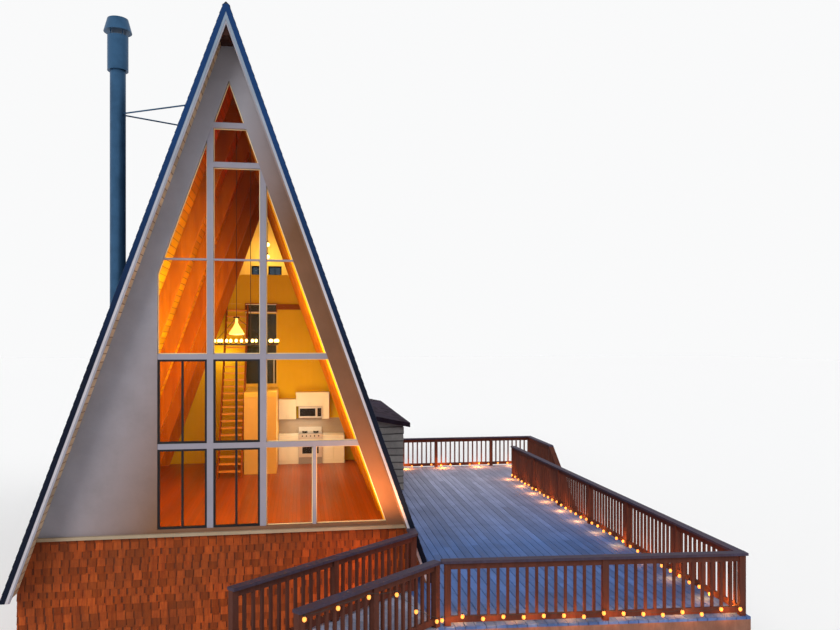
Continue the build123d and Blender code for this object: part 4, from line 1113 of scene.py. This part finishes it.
# lamp strings: on the railings, and round the chandelier's ring
def stringTree():
    tree, give, end = newGroup("lampString", {
        "Geometry": "Geometry", "Lamps": 10, "Wire Radius": 0.004, "Socket Radius": 0.011,
        "Socket Length": 0.03, "Bulb Radius": 0.02, "Side": -1.0, "Sag": 0.02, "Height Spread": 0.0,
        "Seed": 5, "Wire Finish": "Material", "Bulb Finish": "Material"}, {"Geometry": "Geometry"},
        "GeometryNodeTree")
    tree.is_modifier = True
    node, calc = partial(addNode, tree), partial(math2, tree)

    def moved(geometry, z):
        values = {"Geometry": geometry, "Offset": combined(tree, Z=z)}
        return node("GeometryNodeSetPosition", values).outputs[0]

    def joined(*parts):
        made = node("GeometryNodeJoinGeometry")
        for part in parts:
            plug(tree, made.inputs[0], part)
        return made.outputs[0]

    line = node("GeometryNodeMeshToCurve", {"Mesh": give["Geometry"]}).outputs[0]
    counted = {"Curve": line, "Count": give["Lamps"]}
    spots = node("GeometryNodeResampleCurve", counted, mode="COUNT").outputs[0]
    lowest = calc("MULTIPLY", give["Height Spread"], -1.0)
    hung = moved(spots, pickRandom(tree, lowest, give["Height Spread"], give["Seed"]))
    finer = node("GeometryNodeSubdivideCurve", {"Curve": hung, "Cuts": 3}).outputs[0]
    share = calc("FRACT", calc("DIVIDE", node("GeometryNodeInputIndex").outputs[0], 4.0))
    dip = calc("MULTIPLY", calc("SINE", calc("MULTIPLY", share, math.pi)), give["Sag"])
    profile = node("GeometryNodeCurvePrimitiveCircle", {
        "Resolution": 5, "Radius": give["Wire Radius"]}).outputs[0]
    wire = node("GeometryNodeCurveToMesh", {
        "Curve": moved(finer, calc("MULTIPLY", dip, -1.0)), "Profile Curve": profile,
        "Fill Caps": True}).outputs[0]
    holder = node("GeometryNodeMeshCylinder", {
        "Vertices": 8, "Radius": give["Socket Radius"], "Depth": give["Socket Length"]}).outputs["Mesh"]
    ball = node("GeometryNodeMeshIcoSphere", {
        "Subdivisions": 2, "Radius": give["Bulb Radius"]}).outputs["Mesh"]
    tall = node("GeometryNodeTransform", {"Geometry": ball, "Scale": (1.0, 1.0, 1.25)}).outputs[0]
    bulb = node("GeometryNodeSetShadeSmooth", {"Geometry": tall}).outputs[0]
    half = calc("MULTIPLY", calc("MULTIPLY", give["Socket Length"], 0.5), give["Side"])
    reach = calc("MULTIPLY", calc("ADD", give["Socket Length"], give["Bulb Radius"]), give["Side"])
    holders, bulbs = [
        node("GeometryNodeInstanceOnPoints", {"Points": hung, "Instance": moved(shape, height)}).outputs[0]
        for shape, height in ((holder, half), (bulb, reach))]
    dark = joined(wire, holders)
    plug(tree, end["Geometry"], joined(coated(tree, bulbs, give["Bulb Finish"]),
                                       coated(tree, dark, give["Wire Finish"])))
    return tree


lampString = stringTree()


def lampLine(name, points, spacing, look, closed=False):
    base = bpy.data.meshes.new(name + "Line")
    edges = [(step, step + 1) for step in range(len(points) - 1)] + ([(len(points) - 1, 0)] if closed else [])
    base.from_pydata([tuple(point) for point in points], edges, [])
    length = sum((Vector(points[b]) - Vector(points[a])).length for a, b in edges)
    lampCount = round(length / spacing) + (0 if closed else 1)
    mesh = evaluatedMesh(name, lampString, {"Lamps": lampCount, **look}, base)
    print("lamp line", name, round(length, 2), "m", len(mesh.polygons), "faces")
    return finished(name, mesh)


stringLook = {"Wire Radius": 0.003, "Socket Radius": 0.010, "Socket Length": 0.028, "Bulb Radius": 0.026,
              "Side": -1.0, "Sag": 0.025, "Wire Finish": finish["lampWire"],
              "Bulb Finish": finish["stringLamp"]}
lineHeight = deckTop + 0.125
# the walkway's string: how far from the corner post along the railing, and how high
walkString = ((2.45, 2.36), (1.5, 2.35), (0.70, 2.20), (0.36, 1.77), (0.03, 1.66))
walkInset = 0.003
walkLine = [walkOuter + walkRun * reach - walkAcross * walkInset + Vector((0, 0, height))
            for reach, height in walkString]
# each string: its ends' places, spacing, how far the lamps' heights differ, and its seed
strings = {
    "string_lights_walkway": (walkLine, 0.5, 0.01, 9),
    "string_lights_front": ([(3.11, -2.500, lineHeight + 0.02), (7.45, -2.775, lineHeight + 0.02)],
                            0.29, 0.045, 5),
    "string_lights_right": ([(7.44, -2.60, lineHeight), (7.222, 8.42, lineHeight)], 0.31, 0.02, 6),
    "string_lights_back": ([(4.00, 10.60, lineHeight), (8.30, 10.60, lineHeight)], 0.30, 0.02, 7),
}
for name, (points, spacing, difference, seed) in strings.items():
    lampLine(name, points, spacing, {**stringLook, "Height Spread": difference, "Seed": seed})

# chandelier bulbs on the ring, and the shade in its middle
ring = {"centre": (0.037, 2.825, 5.41), "radius": 0.67, "points": 24, "spacing": 0.21,
        "hub": (-0.11, 2.825, 5.94)}
ringLook = {"Wire Radius": 0.010, "Socket Radius": 0.018, "Socket Length": 0.045, "Bulb Radius": 0.030,
            "Side": 1.0, "Sag": 0.0, "Height Spread": 0.0, "Seed": 8, "Wire Finish": finish["lampIron"],
            "Bulb Finish": finish["warmLamp"]}
# the shade's tiers by radius and drop below the hub
shade = {"tiers": ((0.025, 0.0), (0.030, -0.10), (0.060, -0.16), (0.150, -0.30), (0.150, -0.33),
                   (0.03, -0.34)), "sides": 12}

ringLine = [Vector(ring["centre"]) + out * ring["radius"] for out in circle(ring["points"])]
lampLine("chandelier_bulbs", ringLine, ring["spacing"], ringLook, closed=True)


def lampShade(work):
    loops = [[work.verts.new(Vector(ring["hub"]) + out * radius + Vector((0, 0, drop)))
              for out in circle(shade["sides"])] for radius, drop in shade["tiers"]]
    for first, second in zip(loops, loops[1:]):
        bridge(work, first, second)
    work.faces.new(loops[0])
    work.faces.new(loops[-1])


dressed("chandelier_shade", "lamp_metal", lampShade, "shadeGlow")

# two lamps on one rod over the loft
loft = {"place": (0.10, 12.75), "balls": (8.66, 8.26), "ball": 0.07, "socket": 0.02, "socketTop": 0.13,
        "rod": 0.008, "rodSpan": (8.3, 9.4)}


def loftLamps(work):
    x, y = loft["place"]
    for z in loft["balls"]:
        addRod(work, (x, y, z + loft["ball"]), (x, y, z + loft["socketTop"]), loft["socket"])
        addBall(work, (x, y, z), loft["ball"], 1, 2)
    addRod(work, (x, y, loft["rodSpan"][0]), (x, y, loft["rodSpan"][1]), loft["rod"], 6)


dressed("loft_lamps", "lamp_metal", loftLamps, "lampIron", "warmLamp")
print("stage: lamps made")


# camera, light and floor; the lights' own shapes don't show
def addLight(name, kind, power, color, place=(0, 0, 0), aim=None, **settings):
    light = bpy.data.lights.new(name, kind)
    light.energy = power
    light.color = color
    for key, value in settings.items():
        setattr(light, key, value)
    made = linked(name, light)
    made.location = place
    if aim:
        made.rotation_euler = Vector(aim).to_track_quat("-Z", "Y").to_euler()
    made.visible_camera = made.visible_glossy = made.visible_transmission = False


# soft studio suns: direction, strength, angle in degrees, tone
suns = {"keyLight": ((0.45, 0.85, -0.65), 1.7, 30, (1.0, 0.98, 0.95)),
        "fillLight": ((-0.75, 0.35, -0.6), 0.7, 40, (0.92, 0.96, 1.0)),
        "backLight": ((0.2, -0.8, -0.7), 0.7, 40, (0.95, 0.97, 1.0))}
for name, (direction, strength, angle, tone) in suns.items():
    addLight(name, "SUN", strength, tone, aim=direction, angle=math.radians(angle))

# the glow of the lamps inside: place, power, tone
warm, amber, yellow = (1.0, 0.80, 0.36), (1.0, 0.55, 0.16), (1.0, 0.92, 0.34)
roomLights = [
    ((0.05, 0.95, 4.3), 140, warm), ((-0.75, 1.0, 5.0), 75, yellow), ((0.95, 0.75, 5.2), 110, yellow),
    ((1.45, 0.75, 3.5), 60, yellow), ((0.45, 0.85, 6.6), 30, yellow), ((0.04, 2.83, 5.45), 130, warm),
    ((-0.1, 6.0, 4.6), 110, amber), ((-0.1, 8.5, 5.4), 95, warm), ((0.5, 10.6, 4.2), 16, warm),
    ((0.1, 13.3, 8.3), 48, warm), ((-1.3, 13.2, 7.0), 22, warm), ((-1.35, 12.1, 5.0), 18, yellow),
    ((0.2, 1.6, 2.5), 45, warm), ((1.3, 10.5, 2.95), 50, (1.0, 0.88, 0.66))]
for step, (place, power, tone) in enumerate(roomLights):
    addLight(f"roomGlow{step}", "POINT", power, tone, place, shadow_soft_size=0.35)

# flat lamps: place, target, width, depth, power, tone
flatLights = {
    "rangeGlow": ((1.3, 12.28, 2.88), (1.3, 12.25, 2.42), 1.2, 0.25, 3.5, (1.0, 0.86, 0.62)),
    "frontGlow": ((2.3, -0.75, 2.58), (2.5, -0.35, 5.0), 0.5, 0.5, 52, (1.0, 0.44, 0.14)),
    "skirtGlow": ((2.2, -0.9, 1.75), (1.3, 0, 1.6), 0.6, 0.6, 9, (1.0, 0.36, 0.09))}
for name, (place, target, wide, deep, power, tone) in flatLights.items():
    addLight(name, "AREA", power, tone, place, Vector(target) - Vector(place), shape="RECTANGLE", size=wide,
             size_y=deep)

# the glow of the string lamps: count, first place, step, height over the deck, power, radius
ember = (1.0, 0.34, 0.06)
stringGlows = {"frontRailGlow": (6, (3.4, -2.27), (0.8, -0.05), 0.11, 14, 0.08),
               "edgeGlow": (8, (3.25, -2.60), (0.57, -0.036), 0.10, 3.5, 0.06),
               "rightRailGlow": (11, (7.30, -2.0), (-0.02, 1.02), 0.11, 9, 0.08),
               "backRailGlow": (4, (4.4, 10.45), (1.15, 0), 0.11, 14, 0.08)}
for name, (count, (x, y), (stepX, stepY), height, power, radius) in stringGlows.items():
    for step in range(count):
        place = (x + step * stepX, y + step * stepY, deckTop + height)
        addLight(f"{name}{step}", "POINT", power, ember, place, shadow_soft_size=radius)

studio = {"sky": (0.82, 0.88, 1.0), "skyStrength": 0.5, "backdrop": (0.951, 0.954, 0.958),
          "floorLow": (-150, -60, -0.02), "floorHigh": (150, 240, 0.0)}
world = bpy.data.worlds.new("studio")
bpy.context.scene.world = world
world.use_nodes = True
sky = world.node_tree
background = sky.nodes["Background"]
background.inputs["Color"].default_value = (*studio["sky"], 1.0)
background.inputs["Strength"].default_value = studio["skyStrength"]
white = addNode(sky, "ShaderNodeBackground", {"Color": (*studio["backdrop"], 1.0), "Strength": 1.0})
rays = addNode(sky, "ShaderNodeLightPath").outputs
seen = math2(sky, "MAXIMUM", rays["Is Camera Ray"],
             math2(sky, "MAXIMUM", rays["Is Glossy Ray"], rays["Is Transmission Ray"]))
choice = addNode(sky, "ShaderNodeMixShader", {0: seen, 1: background.outputs[0], 2: white.outputs[0]})
plug(sky, sky.nodes["World Output"].inputs["Surface"], choice.outputs[0])

floorMesh = meshFrom("studio_floor", lambda work: addBox(work, studio["floorLow"], studio["floorHigh"]),
                     ["studioFloor"])
floorPiece = linked("studio_floor", floorMesh)

view = {"lens": 32.571, "sensor_width": 36.0, "shift_y": 0.0298, "clip_end": 500.0}
viewPlace, viewTurn = (1.156, -12.915, 5.5), -8.973
cameraData = bpy.data.cameras.new("view")
for key, value in view.items():
    setattr(cameraData, key, value)
cameraPiece = linked("view", cameraData)
cameraPiece.location = viewPlace
cameraPiece.rotation_euler = (math.radians(90), 0, math.radians(viewTurn))
scene = bpy.context.scene
scene.camera = cameraPiece
scene.view_settings.view_transform = "Standard"
print("stage: camera and lights set")
